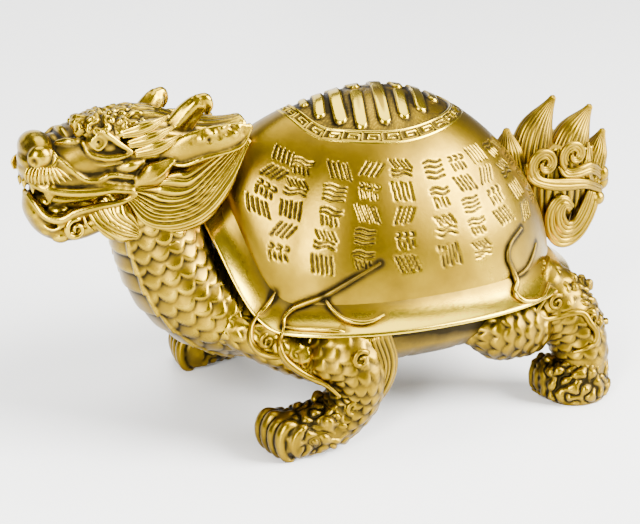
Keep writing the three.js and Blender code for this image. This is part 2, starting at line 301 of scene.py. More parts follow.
# A plain rod of so many sides and rows, to be bent along a path: its mesh, and for each
# point its share of the length, its turn round the rod and whether it is on the side
def rod(sides, rows):
    if (sides, rows) not in _rods:
        obj = plain(bpy.ops.mesh.primitive_cylinder_add, vertices=sides, radius=1, depth=1,
                    end_fill_type="TRIFAN")
        # a subdivision makes at most 100 cuts, so a long rod is cut in two steps
        steps = (rows,) if rows <= 100 else (2, rows // 2)
        for step in steps:
            bpy.ops.object.mode_set(mode="EDIT")
            bpy.ops.mesh.select_mode(type="EDGE")
            bpy.ops.mesh.select_all(action="DESELECT")
            edit = bmesh.from_edit_mesh(obj.data)
            for edge in edit.edges:
                edge.select = abs(edge.verts[0].co.z - edge.verts[1].co.z) > 0.001
            bmesh.update_edit_mesh(obj.data)
            bpy.ops.mesh.subdivide(number_cuts=step - 1)
            bpy.ops.object.mode_set(mode="OBJECT")
        points = points_of(obj.data)
        mesh = obj.data.copy()
        bpy.data.objects.remove(obj)
        is_side = np.hypot(points[:, 0], points[:, 1]) > 0.5
        turn = np.arctan2(points[:, 0], points[:, 1]) % TAU
        _rods[sides, rows] = mesh, points[:, 2] + 0.5, turn, is_side
    return _rods[sides, rows]


def new_object(name, data):
    obj = bpy.data.objects.new(name, data)
    bpy.context.scene.collection.objects.link(obj)
    return obj


# Directions across a path that turn as little as they can, for round cords
def steady_across(along):
    no_path_this_way = (0.31, 0.55, 0.77)
    side = np.cross(along[0], no_path_this_way)
    sides = []
    for way in along:
        side = unit(side - way * (side @ way))
        sides.append(side)
    return np.array(sides)


# A closed oval limb along a path. Each size is half the width across and half the depth,
# and relief(share, turn) lifts its side outwards, all in mm.
def limb(path, sizes, sides, rows, across=(0, 1, 0), relief=None):
    mesh, share, turn, is_side = rod(sides, rows)
    mesh = mesh.copy()
    centre, along = curve_at(path, share)
    section = sections_at(sizes, share)
    if across is None:
        _, ways = curve_at(path, np.arange(rows + 1) / rows)
        side = steady_across(ways)[np.rint(share * rows).astype(int)]
    else:
        side = np.broadcast_to(np.asarray(across, float), along.shape)
    side = unit(side - along * (side * along).sum(axis=1, keepdims=True))
    depth = np.cross(side, along)
    lift = relief(share, turn) if relief else 0.0
    reach = (np.sin(turn) * (section[:, 0] + lift))[:, None] * side
    reach = reach + (np.cos(turn) * (section[:, 1] + lift))[:, None] * depth
    cap = np.sign(share - 0.5) * np.minimum(section.min(axis=1), CAP_WIDEST) * CAP_BULGE
    points = centre + np.where(is_side[:, None], reach, along * cap[:, None])
    put_points(mesh, in_frame(points))
    mesh.flip_normals()
    return new_object("form", mesh)


def ball(centre, radii, segments=28, rings=16):
    if (segments, rings) not in _balls:
        obj = plain(bpy.ops.mesh.primitive_uv_sphere_add, segments=segments, ring_count=rings, radius=1)
        _balls[segments, rings] = obj.data.copy()
        bpy.data.objects.remove(obj)
    mesh = _balls[segments, rings].copy()
    put_points(mesh, in_frame(points_of(mesh) * radii + centre))
    return new_object("form", mesh)


# A cord of even thickness, thinner towards its ends
def cord(path, thick, end=0.5, rows=14, sides=8):
    return limb(path, [[thick * end] * 2, [thick] * 2, [thick] * 2, [thick * end] * 2], sides, rows, None)


# A curl that winds inwards in the plane of the figure's side and leans out towards its middle
def curl(centre, radius, turns, start, thick, lean=0.0, spin=1, rows=26):
    x, y, z = centre
    path = []
    for share in np.linspace(0, 1, 14):
        angle = start + spin * turns * TAU * share
        reach = radius * (1 - 0.8 * share)
        out = math.copysign(lean * share, y)
        path.append((x + reach * math.cos(angle), y + out, z + reach * math.sin(angle)))
    return limb(path, [[thick] * 2, [thick * 0.85] * 2, [thick * 0.55] * 2], 10, rows, None)


# Strands that lie side by side between the first and the last of two or three paths
def strands(paths, count, thick, end, rows):
    shares = np.linspace(0, 1, 12)
    guides = np.array([curve_at(path, shares)[0] for path in paths])
    made = []
    for k in range(count):
        w = k / (count - 1)
        if len(paths) == 2:
            weights = (1 - w, w)
        else:
            weights = (2 * (w - 0.5) * (w - 1), 4 * w * (1 - w), 2 * w * (w - 0.5))
        line = sum(weight * guide for weight, guide in zip(weights, guides))
        size = thick * (1 + 0.18 * math.sin(2.4 * k))
        sizes = [[size * end] * 2, [size] * 2, [size] * 2, [size * end * 0.8] * 2]
        made.append(limb(line, sizes, 8, rows, None))
    return made


# Places a point of a side's drawing on the figure's left (-1) or right (+1) side
def on_side(side):
    return lambda x, y, z: (x, side * y, z)


# Whether that is the side away from the photograph
def is_far(at):
    return at(0, 1, 0)[1] > 0


# The same forms on the left and the right side
def both_sides(make):
    return make(on_side(-1)) + make(on_side(1))


# Relief of a limb, mm: overlapping rounded scales, over a span of its length, whose free
# edges point to the limb's end, or to its start
def scales(rows, columns, rise, span, to_start=False):
    def relief(share, turn):
        run = rows * ((1 - share) if to_start else share)
        place = turn / TAU * columns
        height = np.zeros_like(run)
        for back in (0, 1):
            row = np.floor(run) - back
            offset = 0.5 * (row % 2)
            aside = 2 * (place - offset - np.round(place - offset))
            ahead = run - row
            # a scale rises towards its round free edge, which covers part of the next row
            edge = 1 + 0.5 * (1 - aside ** 2)
            cover = 1 - smooth_step(edge - 0.04, edge + 0.16, ahead)
            shape = 0.15 + 0.85 * ahead / edge + 0.2 * (1 - aside ** 2)
            shape = shape * (1 - 0.25 * smooth_step(edge - 0.3, edge, ahead))
            height = height + (shape - height) * cover
        fade = smooth_step(span[0] - 0.04, span[0] + 0.04, share)
        fade = fade * (1 - smooth_step(span[1] - 0.04, span[1] + 0.04, share))
        return rise * (height - 0.6) * fade
    return relief


# Relief of a limb, mm: locks of hair that run along it
def locks(count, depth, twist=0.0):
    def relief(share, turn):
        place = turn * count / 2 + twist * TAU * share + 0.5 * np.sin(2 * turn)
        return depth * (np.abs(np.sin(place)) ** 0.6 - 0.7)
    return relief


# Relief of a flat limb, mm: strands that run along it side by side on both faces
def ridges(count, depth, sway=0.1):
    def relief(share, turn):
        across = (np.cos(turn) + 1) / 2
        place = count * (across + 0.03 * np.sin(9 * across + 1)) + sway * np.sin(TAU * share + 5 * across)
        number = np.floor(place)
        height = np.abs(np.sin(math.pi * place)) ** 0.7 * (0.8 + 0.2 * np.sin(2.3 * number))
        return depth * (height - 0.6)
    return relief


# Puts closed forms together in one object
def joined(name, forms):
    deselect()
    for form in forms:
        form.select_set(True)
    bpy.context.view_layer.objects.active = forms[0]
    bpy.ops.object.join()
    obj = bpy.context.object
    obj.name = name
    obj.data.name = name
    return obj


# Joins closed forms into one closed skin with cells of the given size, mm
def one_skin(name, forms, cell):
    obj = joined(name, forms)
    apply_modifier(obj, "REMESH", mode="VOXEL", voxel_size=cell * MM)
    apply_modifier(obj, "SMOOTH", factor=0.5)
    return obj


# Presses a small hollow into a piece, or with a depth below 0 raises a bump, mm
def press(points, centre, radius, depth, direction):
    away = np.linalg.norm(points - in_frame(centre), axis=1) / (radius * MM)
    push = np.where(away < 1, (1 - away ** 2) ** 2, 0)[:, None]
    return points + push * unit(np.asarray(direction, float)) * depth * MM


# Irregular rounded lumps, from about -0.5 to 0.7, of the given size in mm: waves that run
# in many directions at once
def lumps(points, size):
    total = np.zeros(len(points))
    waves_in_all = 9
    for k in range(waves_in_all):
        level = 1 - 2 * (k + 0.5) / waves_in_all
        reach = math.sqrt(1 - level * level)
        way = np.array((math.cos(2.4 * k) * reach, math.sin(2.4 * k) * reach, level))
        total += np.sin(points @ way * TAU / (size * (0.8 + 0.05 * k)) + 1.7 * k)
    return np.minimum(np.abs(total) / 3, 1.2) - 0.5


# Makes part of a piece rough; share_of(points) tells how far, with points in mm. The lumps
# are the same on the left and the right side.
def roughen(obj, size, depth, share_of):
    mesh = obj.data
    points = points_of(mesh)
    place = in_drawing(points)
    middle = place[:, 1].mean()
    if abs(middle) > 5:
        folded = place * (1, math.copysign(1, middle), 1)
    else:
        folded = np.abs(place)
    lift = depth * MM * lumps(folded, size) * share_of(place)
    put_points(mesh, points + vectors_of(mesh, "normal") * lift[:, None])


# Keeps an object under a number of triangles
def slim(obj, limit):
    obj.data.calc_loop_triangles()
    count = len(obj.data.loop_triangles)
    if count > limit:
        apply_modifier(obj, "DECIMATE", ratio=limit / count)


def crest_values_of(mesh, name):
    values = np.empty(len(mesh.vertices))
    mesh.attributes[name].data.foreach_get("value", values)
    return values


def put_crest_values(mesh, name, values):
    mesh.attributes[name].data.foreach_set("value", values.astype(np.float32))


# How far each point stands out from the piece's own smoothed form, mm, at two scales: polish takes to what
# stands out, and patina stays in what lies back. At the broad scale, surfaces that face down are also
# darkened as painted shade.
def note_wear_and_shade(obj, patina):
    mesh = obj.data
    count = len(mesh.vertices)
    ends = np.empty(len(mesh.edges) * 2, dtype=np.int64)
    mesh.edges.foreach_get("vertices", ends)
    a, b = ends[::2], ends[1::2]
    degree = np.maximum(np.bincount(a, minlength=count) + np.bincount(b, minlength=count), 1)
    normals = vectors_of(mesh, "normal")
    points = points_of(mesh) / MM
    smooth = points.copy()
    for name, rounds, most in WEAR_SCALES:
        for _ in range(rounds):
            total = np.stack([
                np.bincount(a, smooth[b, k], count) + np.bincount(b, smooth[a, k], count) for k in range(3)
            ], axis=1)
            smooth = (1 - SMOOTHING) * smooth + SMOOTHING * total / degree[:, None]
        height = np.minimum(((points - smooth) * normals).sum(axis=1), most)
        if name == "broad_crest":
            # surfaces that face down are darkened: painted shade
            height -= patina + UNDERSIDE_PAINTED_SHADE * smooth_step(0.1, 0.9, -normals[:, 2])
        mesh.attributes.new(name, "FLOAT", "POINT")
        put_crest_values(mesh, name, height)


# Shell

# Turns the sine or cosine of an angle into a place on the rounded plan
def plan_bow(value):
    return np.sign(value) * np.abs(value) ** (2 / PLAN_POWER)


# How far the crease is arched up over the neck, mm
def neck_arch(angle):
    turn = np.abs(np.arctan2(np.sin(angle), np.cos(angle)))
    return ARCH_RISE * np.cos(math.pi / 2 * np.minimum(1, turn / ARCH_HALF_ANGLE)) ** 2


# Height of the dome over its crease, from 1 at the top to 0
def dome_profile(share):
    return (1 - np.clip(share, 0, 1) ** DOME_POWER) ** (1 / DOME_ROOT)


# A point of the shell. Angle 0 is the head end; share 0 is the top, 1 the crease and 2 the edge
# of the skirt.
def shell_point(angle, share):
    on_dome = np.minimum(1, share)
    on_skirt = np.maximum(0, share - 1)
    profile = dome_profile(on_dome)
    arch = neck_arch(angle)
    x = -(CREASE_HALF[0] * on_dome + SKIRT_OUT * on_skirt) * plan_bow(np.cos(angle)) - DOME_FORWARD * profile
    y = -(CREASE_HALF[1] * on_dome + SKIRT_OUT * on_skirt) * plan_bow(np.sin(angle))
    z = CREASE_HEIGHT + arch + (DOME_RISE - arch) * profile - SKIRT_DOWN * on_skirt
    return np.stack([x, y, z], axis=-1)


# Share of the crease's half length and half width at which a point of the plan lies
def plan_share(ahead, aside):
    return (ahead ** PLAN_POWER + aside ** PLAN_POWER) ** (1 / PLAN_POWER)


# The angle and share of the dome's point over a point of the plan, found in a few rounds
def dome_place(x, y):
    profile = np.ones_like(x)
    for _ in range(12):
        ahead = np.abs((x + DOME_FORWARD * profile) / CREASE_HALF[0])
        aside = np.abs(y / CREASE_HALF[1])
        share = plan_share(ahead, aside)
        profile = dome_profile(share)
    right = np.sign(x + DOME_FORWARD * profile) * ahead ** (PLAN_POWER / 2)
    up = np.sign(y) * aside ** (PLAN_POWER / 2)
    return np.arctan2(-up, -right), share


# Raised lines on one side of the shell: the way each runs, mm, and its radius
SHELL_LINES = [
    ([(-18.6, 38.2, 55.4), (-24.6, 37.4, 52.4), (-30.5, 35.9, 49), (-35.2, 34.2, 46.2), (-39.6, 32, 44.2),
      (-43.6, 30.6, 42.4), (-46.4, 31, 40.3), (-47.4, 32.8, 38.2)], 0.95),
    ([(-35, 34.2, 45.8), (-33.3, 36.6, 42.6), (-31, 39.6, 40.5), (-26.9, 42.2, 39.5), (-23.3, 42.9, 39.7),
      (-19.2, 42.5, 40.8)], 0.8),
    ([(-47.4, 32.8, 38.2), (-43.5, 35.9, 38.1), (-39, 38.7, 38.1), (-33.8, 41.5, 37.8),
      (-29, 42.4, 35.6)], 0.7),
    ([(-46.4, 24.6, 46.2), (-49, 26.2, 43.9), (-51.6, 27.2, 42.2), (-54, 27.4, 40.8)], 0.8),
    ([(32.7, 32.4, 57.1), (26.4, 36.4, 53.5), (25.4, 37.4, 50.1), (27.4, 37.4, 45.4), (28, 38.8, 42.4),
      (25.9, 41.6, 40.2), (27.4, 43.5, 38.2), (31.7, 43.2, 37.2), (35.8, 41.6, 37.3),
      (41.3, 36, 39.2)], 0.95),
    ([(39.7, 30, 50.4), (37, 32.5, 47.3), (33.6, 34.7, 44.4), (28.6, 37.6, 43.6)], 0.75),
]


def shell_cords():
    return both_sides(lambda at: [
        cord([at(*p) for p in path], radius, 0.55, 12 * len(path), 10) for path, radius in SHELL_LINES
    ])


# Which points lie in the box round a line with so much room round it, mm
def within(points, line, room):
    inside = (points > line.min(axis=0) - room) & (points < line.max(axis=0) + room)
    return np.flatnonzero(inside.all(axis=1))


# Patina gathers along the foot of the raised lines. The belly is darkened as painted shade, and the skirt is
# brightened towards its edge, partly as rubbing and partly as a painted highlight.
def shade_shell(obj):
    points = in_drawing(points_of(obj.data))
    values = crest_values_of(obj.data, "fine_crest")
    folded = points.copy()
    folded[:, 1] = np.abs(folded[:, 1])
    for path, radius in SHELL_LINES:
        line, _ = curve_at(path, np.linspace(0, 1, 60))
        near = within(folded, line, 3)
        away = np.linalg.norm(folded[near][:, None] - line[None], axis=2).min(axis=1)
        values[near] -= LINE_PATINA * np.exp(-((away - radius) / LINE_PATINA_WIDTH) ** 2)
    # 1 at the crease, more on the skirt and less under the belly
    out = plan_share(np.abs(points[:, 0] / CREASE_HALF[0]), np.abs(points[:, 1] / CREASE_HALF[1]))
    # the skirt is brightened towards its edge: rubbed wear and a painted highlight
    values += SKIRT_RUB_AND_HIGHLIGHT * smooth_step(1.0, 1.07, out)
    # painted shade under the belly
    under = 1 - smooth_step(BELLY_TOP + 2, BELLY_TOP + 3.5, points[:, 2])
    values -= BELLY_PAINTED_SHADE * under * (out < 1.02)
    put_crest_values(obj.data, "fine_crest", values)


# The medallion's strokes and keys are rubbed brighter than its ground
def polish_strokes(obj):
    heights = crest_values_of(obj.data, "broad_crest")
    rubbed = STROKE_RUB * smooth_step(0.24, 0.38, heights)
    dull = GROUND_PATINA * (1 - smooth_step(0.0, 0.2, heights))
    put_crest_values(obj.data, "fine_crest", crest_values_of(obj.data, "fine_crest") + rubbed - dull)


# Shallow strokes in columns, drawn on a field 2 wide and 1 high. Each group is a bundle of like
# strokes side by side, so that none is a letter.
def leaning(places, lean, top, foot):
    strokes = []
    for k, x in enumerate(places):
        # every second stroke is a little shorter
        high, low = top + 0.05 * (k % 2), foot - 0.06 * (k % 2)
        strokes.append([(x - lean, high), (x, (top + foot) / 2), (x + lean, low)])
    return strokes


def waves(levels, swing):
    return [[(x, y + swing * math.sin(4.2 * x + 0.6 * k)) for x in np.linspace(-0.8, 0.8, 9)]
            for k, y in enumerate(levels)]


def commas(places, level, size):
    turns = np.linspace(0, 3.4, 7)
    return [[(x + size * math.sin(turn), level - 0.5 * size * math.cos(turn)) for turn in turns]
            for x in places]


STROKE_GROUPS = [
    leaning((-0.76, -0.38, 0, 0.38, 0.76), 0.14, 0.08, 0.92),
    waves((0.16, 0.38, 0.6, 0.82), 0.045),
    leaning((-0.6, -0.2, 0.2, 0.6), -0.26, 0.12, 0.88),
    waves((0.14, 0.34), 0.06) + leaning((-0.54, -0.18, 0.18, 0.54), 0.1, 0.5, 0.9),
    commas((-0.7, -0.1, 0.5), 0.26, 0.22) + leaning((-0.6, -0.2, 0.2, 0.6), 0.08, 0.52, 0.92),
    leaning((-0.66, -0.33, 0, 0.33, 0.66), 0.22, 0.08, 0.46) + waves((0.6, 0.8), -0.07),
    leaning((-0.7, -0.3, 0.1, 0.5, 0.8), 0.3, 0.1, 0.9),
]
# Each column: degrees at its top, middle and foot, its first and last share, and how many groups
STROKE_COLUMNS = [
    (22.8, 23.6, 21.6, 0.67, 0.95, 4), (33.8, 36.4, 34.4, 0.65, 0.975, 5), (55.2, 55, 52.8, 0.64, 0.98, 5),
    (72.2, 69.6, 67.6, 0.64, 0.975, 5), (84.8, 83, 82, 0.645, 0.985, 5), (96.5, 94.6, 93.6, 0.66, 0.985, 4),
    (109.5, 106, 105, 0.66, 0.982, 5), (124, 120, 118.8, 0.65, 0.94, 4), (139, 136.4, 134.6, 0.66, 0.95, 4),
    (154, 152, 150, 0.67, 0.93, 4), (168, 167, 166, 0.68, 0.9, 3),
]


# How far points of a plane lie from a line of straight segments
def segments_away(px, py, line):
    line = np.asarray(line, float)
    start, step = line[:-1], np.diff(line, axis=0)
    best = np.full(px.shape, 99.0)
    for (sx, sy), (dx, dy) in zip(start, step):
        w = np.clip(((px - sx) * dx + (py - sy) * dy) / (dx * dx + dy * dy), 0, 1)
        best = np.minimum(best, np.hypot(px - sx - w * dx, py - sy - w * dy))
    return best


# Which points lie near a column's spine, and how deep its strokes cut there, mm
def column_cut(points, side, number):
    top, middle, foot, first, last, groups = STROKE_COLUMNS[number]
    shares = np.linspace(first, last, 60)
    degrees = np.interp(np.linspace(0, 1, 60), [0, 0.55, 1], [top, middle, foot])
    spine = shell_point(np.radians(degrees), shares) * (1, -side, 1)
    right = unit(shell_point(np.radians(degrees + 1), shares) * (1, -side, 1) - spine)
    along = unit(np.gradient(spine, axis=0))
    run = np.concatenate([[0], np.cumsum(np.linalg.norm(np.diff(spine, axis=0), axis=1))])
    cell = run[-1] / groups
    near = within(points, spine, 5)
    gap = points[near][:, None, :] - spine[None]
    closest = np.linalg.norm(gap, axis=2).argmin(axis=1)
    gap = gap[np.arange(len(near)), closest]
    across = (gap * right[closest]).sum(axis=1)
    down = run[closest] + (gap * along[closest]).sum(axis=1)
    away = np.full(len(near), 9.0)
    for g in range(groups):
        for stroke in STROKE_GROUPS[(3 * number + 2 * g) % len(STROKE_GROUPS)]:
            line = np.array(stroke) * (COLUMN_HALF_WIDTH, cell * 0.88) + (0, cell * (g + 0.06))
            away = np.minimum(away, segments_away(across, down, line))
    return near, STROKE_DEPTH * (1 - smooth_step(STROKE_HALF_WIDTH * 0.6, STROKE_HALF_WIDTH * 1.6, away))


# Relief of the dome, mm: the strokes are sunk below its surface
def stroke_relief(points):
    depth = np.zeros(len(points))
    for side in (-1, 1):
        for number in range(len(STROKE_COLUMNS)):
            near, cut = column_cut(points, side, number)
            depth[near] = np.maximum(depth[near], cut)
    return -depth


# A sheet of quads through rows of points, mm, with its columns closed into a ring
def ring_sheet(name, grid):
    rows, columns = grid.shape[0] - 1, grid.shape[1]
    obj = plain(bpy.ops.mesh.primitive_grid_add, x_subdivisions=columns, y_subdivisions=rows, size=1)
    obj.name = name
    obj.data.name = name
    points = points_of(obj.data)
    across = np.round((points[:, 0] + 0.5) * columns).astype(int)
    down = np.round((points[:, 1] + 0.5) * rows).astype(int)
    put_points(obj.data, in_frame(grid[down, across % columns]))
    edit_all(obj, bpy.ops.mesh.remove_doubles, threshold=1e-7)
    edit_all(obj, bpy.ops.mesh.normals_make_consistent, inside=False)
    return obj


# Draws the innermost ring of a sheet, within reach of x on the middle line, into one point, mm
def close_end(obj, x, reach):
    points = points_of(obj.data)
    middle = in_frame((x, 0, 0))
    near = np.linalg.norm((points - middle)[:, :2], axis=1) < reach * MM
    points[near] = (middle[0], middle[1], points[near][:, 2].mean())
    put_points(obj.data, points)
    edit_all(obj, bpy.ops.mesh.remove_doubles, threshold=1e-6)


# Outward normals of a grid whose columns close into a ring
def grid_normals(grid):
    round_way = np.roll(grid, -1, axis=1) - np.roll(grid, 1, axis=1)
    down_way = np.gradient(grid, axis=0)
    normals = unit(np.cross(down_way, round_way))
    # outwards is away from a place well below the middle of the sheet
    outwards = grid - grid.mean(axis=(0, 1)) + (0, 0, 30)
    return np.where(((normals * outwards).sum(axis=2) < 0)[..., None], -normals, normals)


# Plan of the medallion's oval at shares of its half width
def medallion_plan(turn, share):
    return MEDALLION_X - MEDALLION_HALF[0] * share * np.cos(turn), -MEDALLION_HALF[1] * share * np.sin(turn)


# The outer surface from the medallion's edge to the edge of the skirt. The rows lie closer
# together near the crease, and the oval's angles drift into the plan's on the way down.
def outer_grid():
    turn = np.arange(SHELL_SIDES) / SHELL_SIDES * TAU
    edge_angle, edge_share = dome_place(*medallion_plan(turn, 1))
    drift = np.arctan2(np.sin(edge_angle - turn), np.cos(edge_angle - turn))
    down = np.linspace(0, 1, DOME_ROWS + 1)[:, None] ** 0.9
    share = edge_share[None] + (1 - edge_share[None]) * (1 - (1 - down) ** 1.25)
    angle = turn[None] + drift[None] * (1 - down) ** 1.5
    skirt_share = np.repeat(np.linspace(1, 2, SKIRT_ROWS + 1)[1:, None], SHELL_SIDES, axis=1)
    skirt_angle = np.repeat(turn[None], SKIRT_ROWS, axis=0)
    angle = np.concatenate([angle, skirt_angle])
    share = np.concatenate([share, skirt_share])
    grid = shell_point(angle, share)
    normals = grid_normals(grid)
    cut = stroke_relief(grid.reshape(-1, 3)).reshape(share.shape)
    edge_fade = smooth_step(0.0, 0.02, np.linspace(0, 1, len(share)))[:, None]
    hollow = SKIRT_HOLLOW * np.sin(math.pi * np.clip(share - 1, 0, 1))
    return grid + normals * (cut * edge_fade - hollow)[..., None]


def shell_dome(grid):
    return ring_sheet("shell_dome", grid[:DOME_ROWS + 1])


# One ring of the belly, at a share of its half width, with the grooves in which its plates meet
def belly_ring(turn, share):
    x = BELLY_X - BELLY_HALF[0] * share * plan_bow(np.cos(turn))
    y = -BELLY_HALF[1] * share * plan_bow(np.sin(turn))
    plate = (x + 6) / BELLY_PLATE
    groove = np.minimum(np.abs(plate - np.round(plate)) * BELLY_PLATE, np.abs(y))
    level = BELLY_TOP - BELLY_DEPTH * max(0, 1 - share ** 4) ** 0.45
    z = level + 0.7 * np.exp(-(groove / 0.8) ** 2) * smooth_step(0, 0.2, 1 - share)
    return np.stack([x, y, z], axis=-1)


# The skirt with its thin lip and its underside, and the belly
def shell_skirt(grid):
    top = grid[DOME_ROWS:]
    turn = np.arange(SHELL_SIDES) / SHELL_SIDES * TAU
    edge, out = top[-1], unit(top[-1] - top[-2])
    rows = list(top)
    for bend in np.linspace(0, math.pi, LIP_ROWS + 1)[1:]:
        rows.append(edge + out * 0.4 * LIP * math.sin(bend) - (0, 0, LIP / 2 * (1 - math.cos(bend))))
    lip_end = rows[-1]
    under = shell_point(turn, np.ones_like(turn)) * (0.97, 0.97, 1) - (0, 0, SKIRT_THICKNESS)
    for share in np.linspace(0, 1, UNDER_ROWS + 1)[1:]:
        rows.append(lip_end * (1 - share) + under * share)
    for share in 1 - np.linspace(0, 1, BELLY_ROWS + 1) ** 1.3 * 0.995:
        rows.append(belly_ring(turn, share))
    obj = ring_sheet("shell_skirt", np.array(rows))
    close_end(obj, BELLY_X, 0.6)
    return joined("shell_skirt", [obj] + shell_cords())


# One key of the meander border on a field 1 wide and 1 high
KEY = [(0.0, 0.04), (0.0, 0.96), (0.84, 0.96), (0.84, 0.26), (0.3, 0.26), (0.3, 0.64), (0.58, 0.64)]
# Bold raised strokes as leaning rows that are no letters, and half their widths, in mm from the
# medallion's middle
MEDALLION_STROKES = [
    ([(-15.5, 6.5), (-18, -1), (-20.2, -7)], 1.5),
    ([(-7.5, 13), (-11, 3), (-14, -6), (-15.4, -11.5)], 1.8),
    ([(-0.6, 15.5), (-2.6, 8), (-4.4, 2.4)], 1.7),
    ([(-6.4, -3.6), (-9, -11), (-10.4, -15.6)], 1.7),
    ([(7.4, 15), (4.4, 7), (1.4, -2), (-1.4, -11), (-2.8, -16)], 1.8),
    ([(13.2, 12), (11, 5.4), (9, -0.4)], 1.7),
    ([(7, -6), (5, -12), (4, -15.4)], 1.6),
    ([(18, 7.4), (15, -1), (12, -10), (11, -13)], 1.7),
    ([(21.8, 2.6), (20, -2.6), (18.6, -6.8)], 1.4),
    ([(-21.6, 3), (-22.6, -1)], 1.1),
]


# Height of the sunk field with its raised strokes, mm
def field_relief(x, y, share):
    grain = 0.11 * np.sin(x * 5.1 + 1.3 * np.sin(y * 2.3)) * np.sin(y * 5.3 + 1.7 * np.sin(x * 1.9))
    height = grain - FIELD_SINK
    for line, half in MEDALLION_STROKES:
        smooth, _ = curve_at([(px, py, 0) for px, py in line], np.linspace(0, 1, 9))
        away = segments_away(x, y, smooth[:, :2])
        raised = 0.1 - (FIELD_SINK + 0.1) * smooth_step(half - 0.1, half + 0.3, away)
        height = np.maximum(height, raised)
    return height * smooth_step(-0.02, 0.006, FIELD_EDGE - share)


# Height of the band between the lines of its keys, mm, with columns as shares of a whole turn
def band_relief(columns, share):
    key_x = (columns * KEY_COUNT)[None] % 1 + 0 * share
    key_y = (share - BAND_INNER) / (BAND_OUTER - BAND_INNER)
    wide = TAU * MEDALLION_MEAN / KEY_COUNT
    tall = (BAND_OUTER - BAND_INNER) * MEDALLION_HALF[0]
    line = [(px * wide, py * tall) for px, py in KEY]
    own = segments_away(key_x * wide, key_y * tall, line)
    neighbour = segments_away((key_x - 1) * wide, key_y * tall, line)
    return -KEY_SINK * smooth_step(0.16, 0.34, np.minimum(own, neighbour))


# A thin raised line round the medallion
def rim_line(share, middle, half_width):
    return np.exp(-((share - middle) * MEDALLION_MEAN / half_width) ** 2)


def medallion():
    columns = np.arange(MEDALLION_SIDES) / MEDALLION_SIDES
    rows = np.arange(MEDALLION_ROWS + 1) / MEDALLION_ROWS
    turn = (columns * TAU)[None]
    border = MEDALLION_BORDER_ROWS / MEDALLION_ROWS
    share = np.interp(rows, [0, border, 1], [1, FIELD_EDGE - 0.02, 0.005])[:, None] + 0 * turn
    x, y = medallion_plan(turn, share)
    grid = shell_point(*dome_place(x, y))
    height = np.where(share < FIELD_EDGE, field_relief(x - MEDALLION_X, y, share), 0)
    height = np.where((share > BAND_INNER) & (share < BAND_OUTER), band_relief(columns, share), height)
    inner_line = rim_line(share, 0.5 * (BAND_INNER + FIELD_EDGE), RIM_HALF_WIDTHS[0])
    height += RIM_RISE * (inner_line + 0.8 * rim_line(share, OUTER_RIM, RIM_HALF_WIDTHS[1]))
    obj = ring_sheet("shell_medallion", grid + grid_normals(grid) * height[..., None])
    close_end(obj, MEDALLION_X, 0.16)
    return obj


# Neck

NECK_PATH = [(-40, 0, 35), (-52, 0, 35), (-61, 0, 38.5), (-69, 0, 47), (-74, 0, 59), (-78, 0, 71),
             (-82, 0, 82)]
NECK_SIZES = [(24, 13), (26, 13.5), (24.5, 14), (20, 14), (16.5, 13.5), (14, 12), (12, 10)]


def neck_relief(share, turn):
    skin = scales(20, 15, 1.2, (0.1, 1.1), to_start=True)(share, turn)
    aside = np.abs(turn - math.pi)
    run = (1 - share) * PLATES
    step = run - np.floor(run)
    plates = step - smooth_step(0.92, 1.0, step) - 0.3
    raised_edge = 0.8 * np.exp(-((aside - PLATE_HALF_TURN) / 0.05) ** 2)
    return np.where(aside < PLATE_HALF_TURN, plates, skin) + raised_edge


def neck():
    forms = [limb(NECK_PATH, NECK_SIZES, 224, 164, relief=neck_relief)]
    forms += both_sides(lambda at: [
        curl(at(-74.4, 15.2, 60.8), 2.4, 1.4, 0.4, 0.7),
        # scaly shoulder
        limb([at(-60, 19.6, 36.4), at(-50, 25.8, 31.6), at(-40, 30.4, 27.4), at(-31, 34.8, 24)],
             [(6, 5.5), (8.2, 6.6), (8.4, 7.2), (6, 6.4)], 96, 76, relief=scales(9, 9, 1.1, (-0.1, 1.1))),
    ])
    return joined("neck", forms)


# Head

SKULL = [(-46, 0, 92), (-58, 0, 88), (-68, 0, 88), (-78, 0, 89), (-88, 0, 90), (-97, 0, 89), (-106, 0, 87),
         (-112, 0, 86.8), (-114.6, 0, 86.8)]
SKULL_SIZES = [(4, 3), (10, 7.6), (12.4, 9.6), (13, 12), (12.5, 11), (11.5, 9.5), (9.8, 7), (8.8, 6.2),
               (5.5, 3.8)]
JAW = [(-80, 0, 75), (-92, 0, 71), (-101.4, 0, 67.8), (-108, 0, 69.2), (-112.3, 0, 74), (-113.6, 0, 79)]
JAW_SIZES = [(11, 6), (10.5, 5), (9, 4.2), (7.5, 3.8), (5.5, 2.4), (3, 1)]
# Nostril and pupil of the near side, then of the far side: place, radius, depth and the way in
HOLLOWS = (
    ((-113.4, -8.5, 90.4), 1.8, 0.9, (0.6, 1, 0.3)),
    ((-95.4, -13.0, 95.2), 0.95, 0.8, (0, 1, 0)),
    ((-110.0, 6.7, 90.4), 1.8, 0.9, (0.6, -1, 0.3)),
    ((-91.0, 13.0, 93.2), 0.95, 0.8, (0, -1, 0)),
)
# Pits and bumps on the upper part of the ear: x and z of the place, radius and depth
EAR_TEXTURE = (
    (-69.4, 93.4, 1.5, 0.6), (-68, 95.6, 1.3, -0.6), (-66.4, 94, 1.5, -0.5), (-65.2, 96.4, 1.2, 0.5),
    (-64, 93.6, 1.3, 0.6), (-62.8, 95.6, 1.6, -0.6), (-61, 94.2, 1.3, 0.6), (-60.2, 96.6, 1.5, -0.5),
    (-58.6, 95, 1.3, 0.6), (-57.2, 96.8, 1.2, 0.5), (-56.4, 94.6, 1.5, -0.6), (-55, 96.2, 1.3, -0.5),
    (-53.6, 94.8, 1.2, 0.5),
)
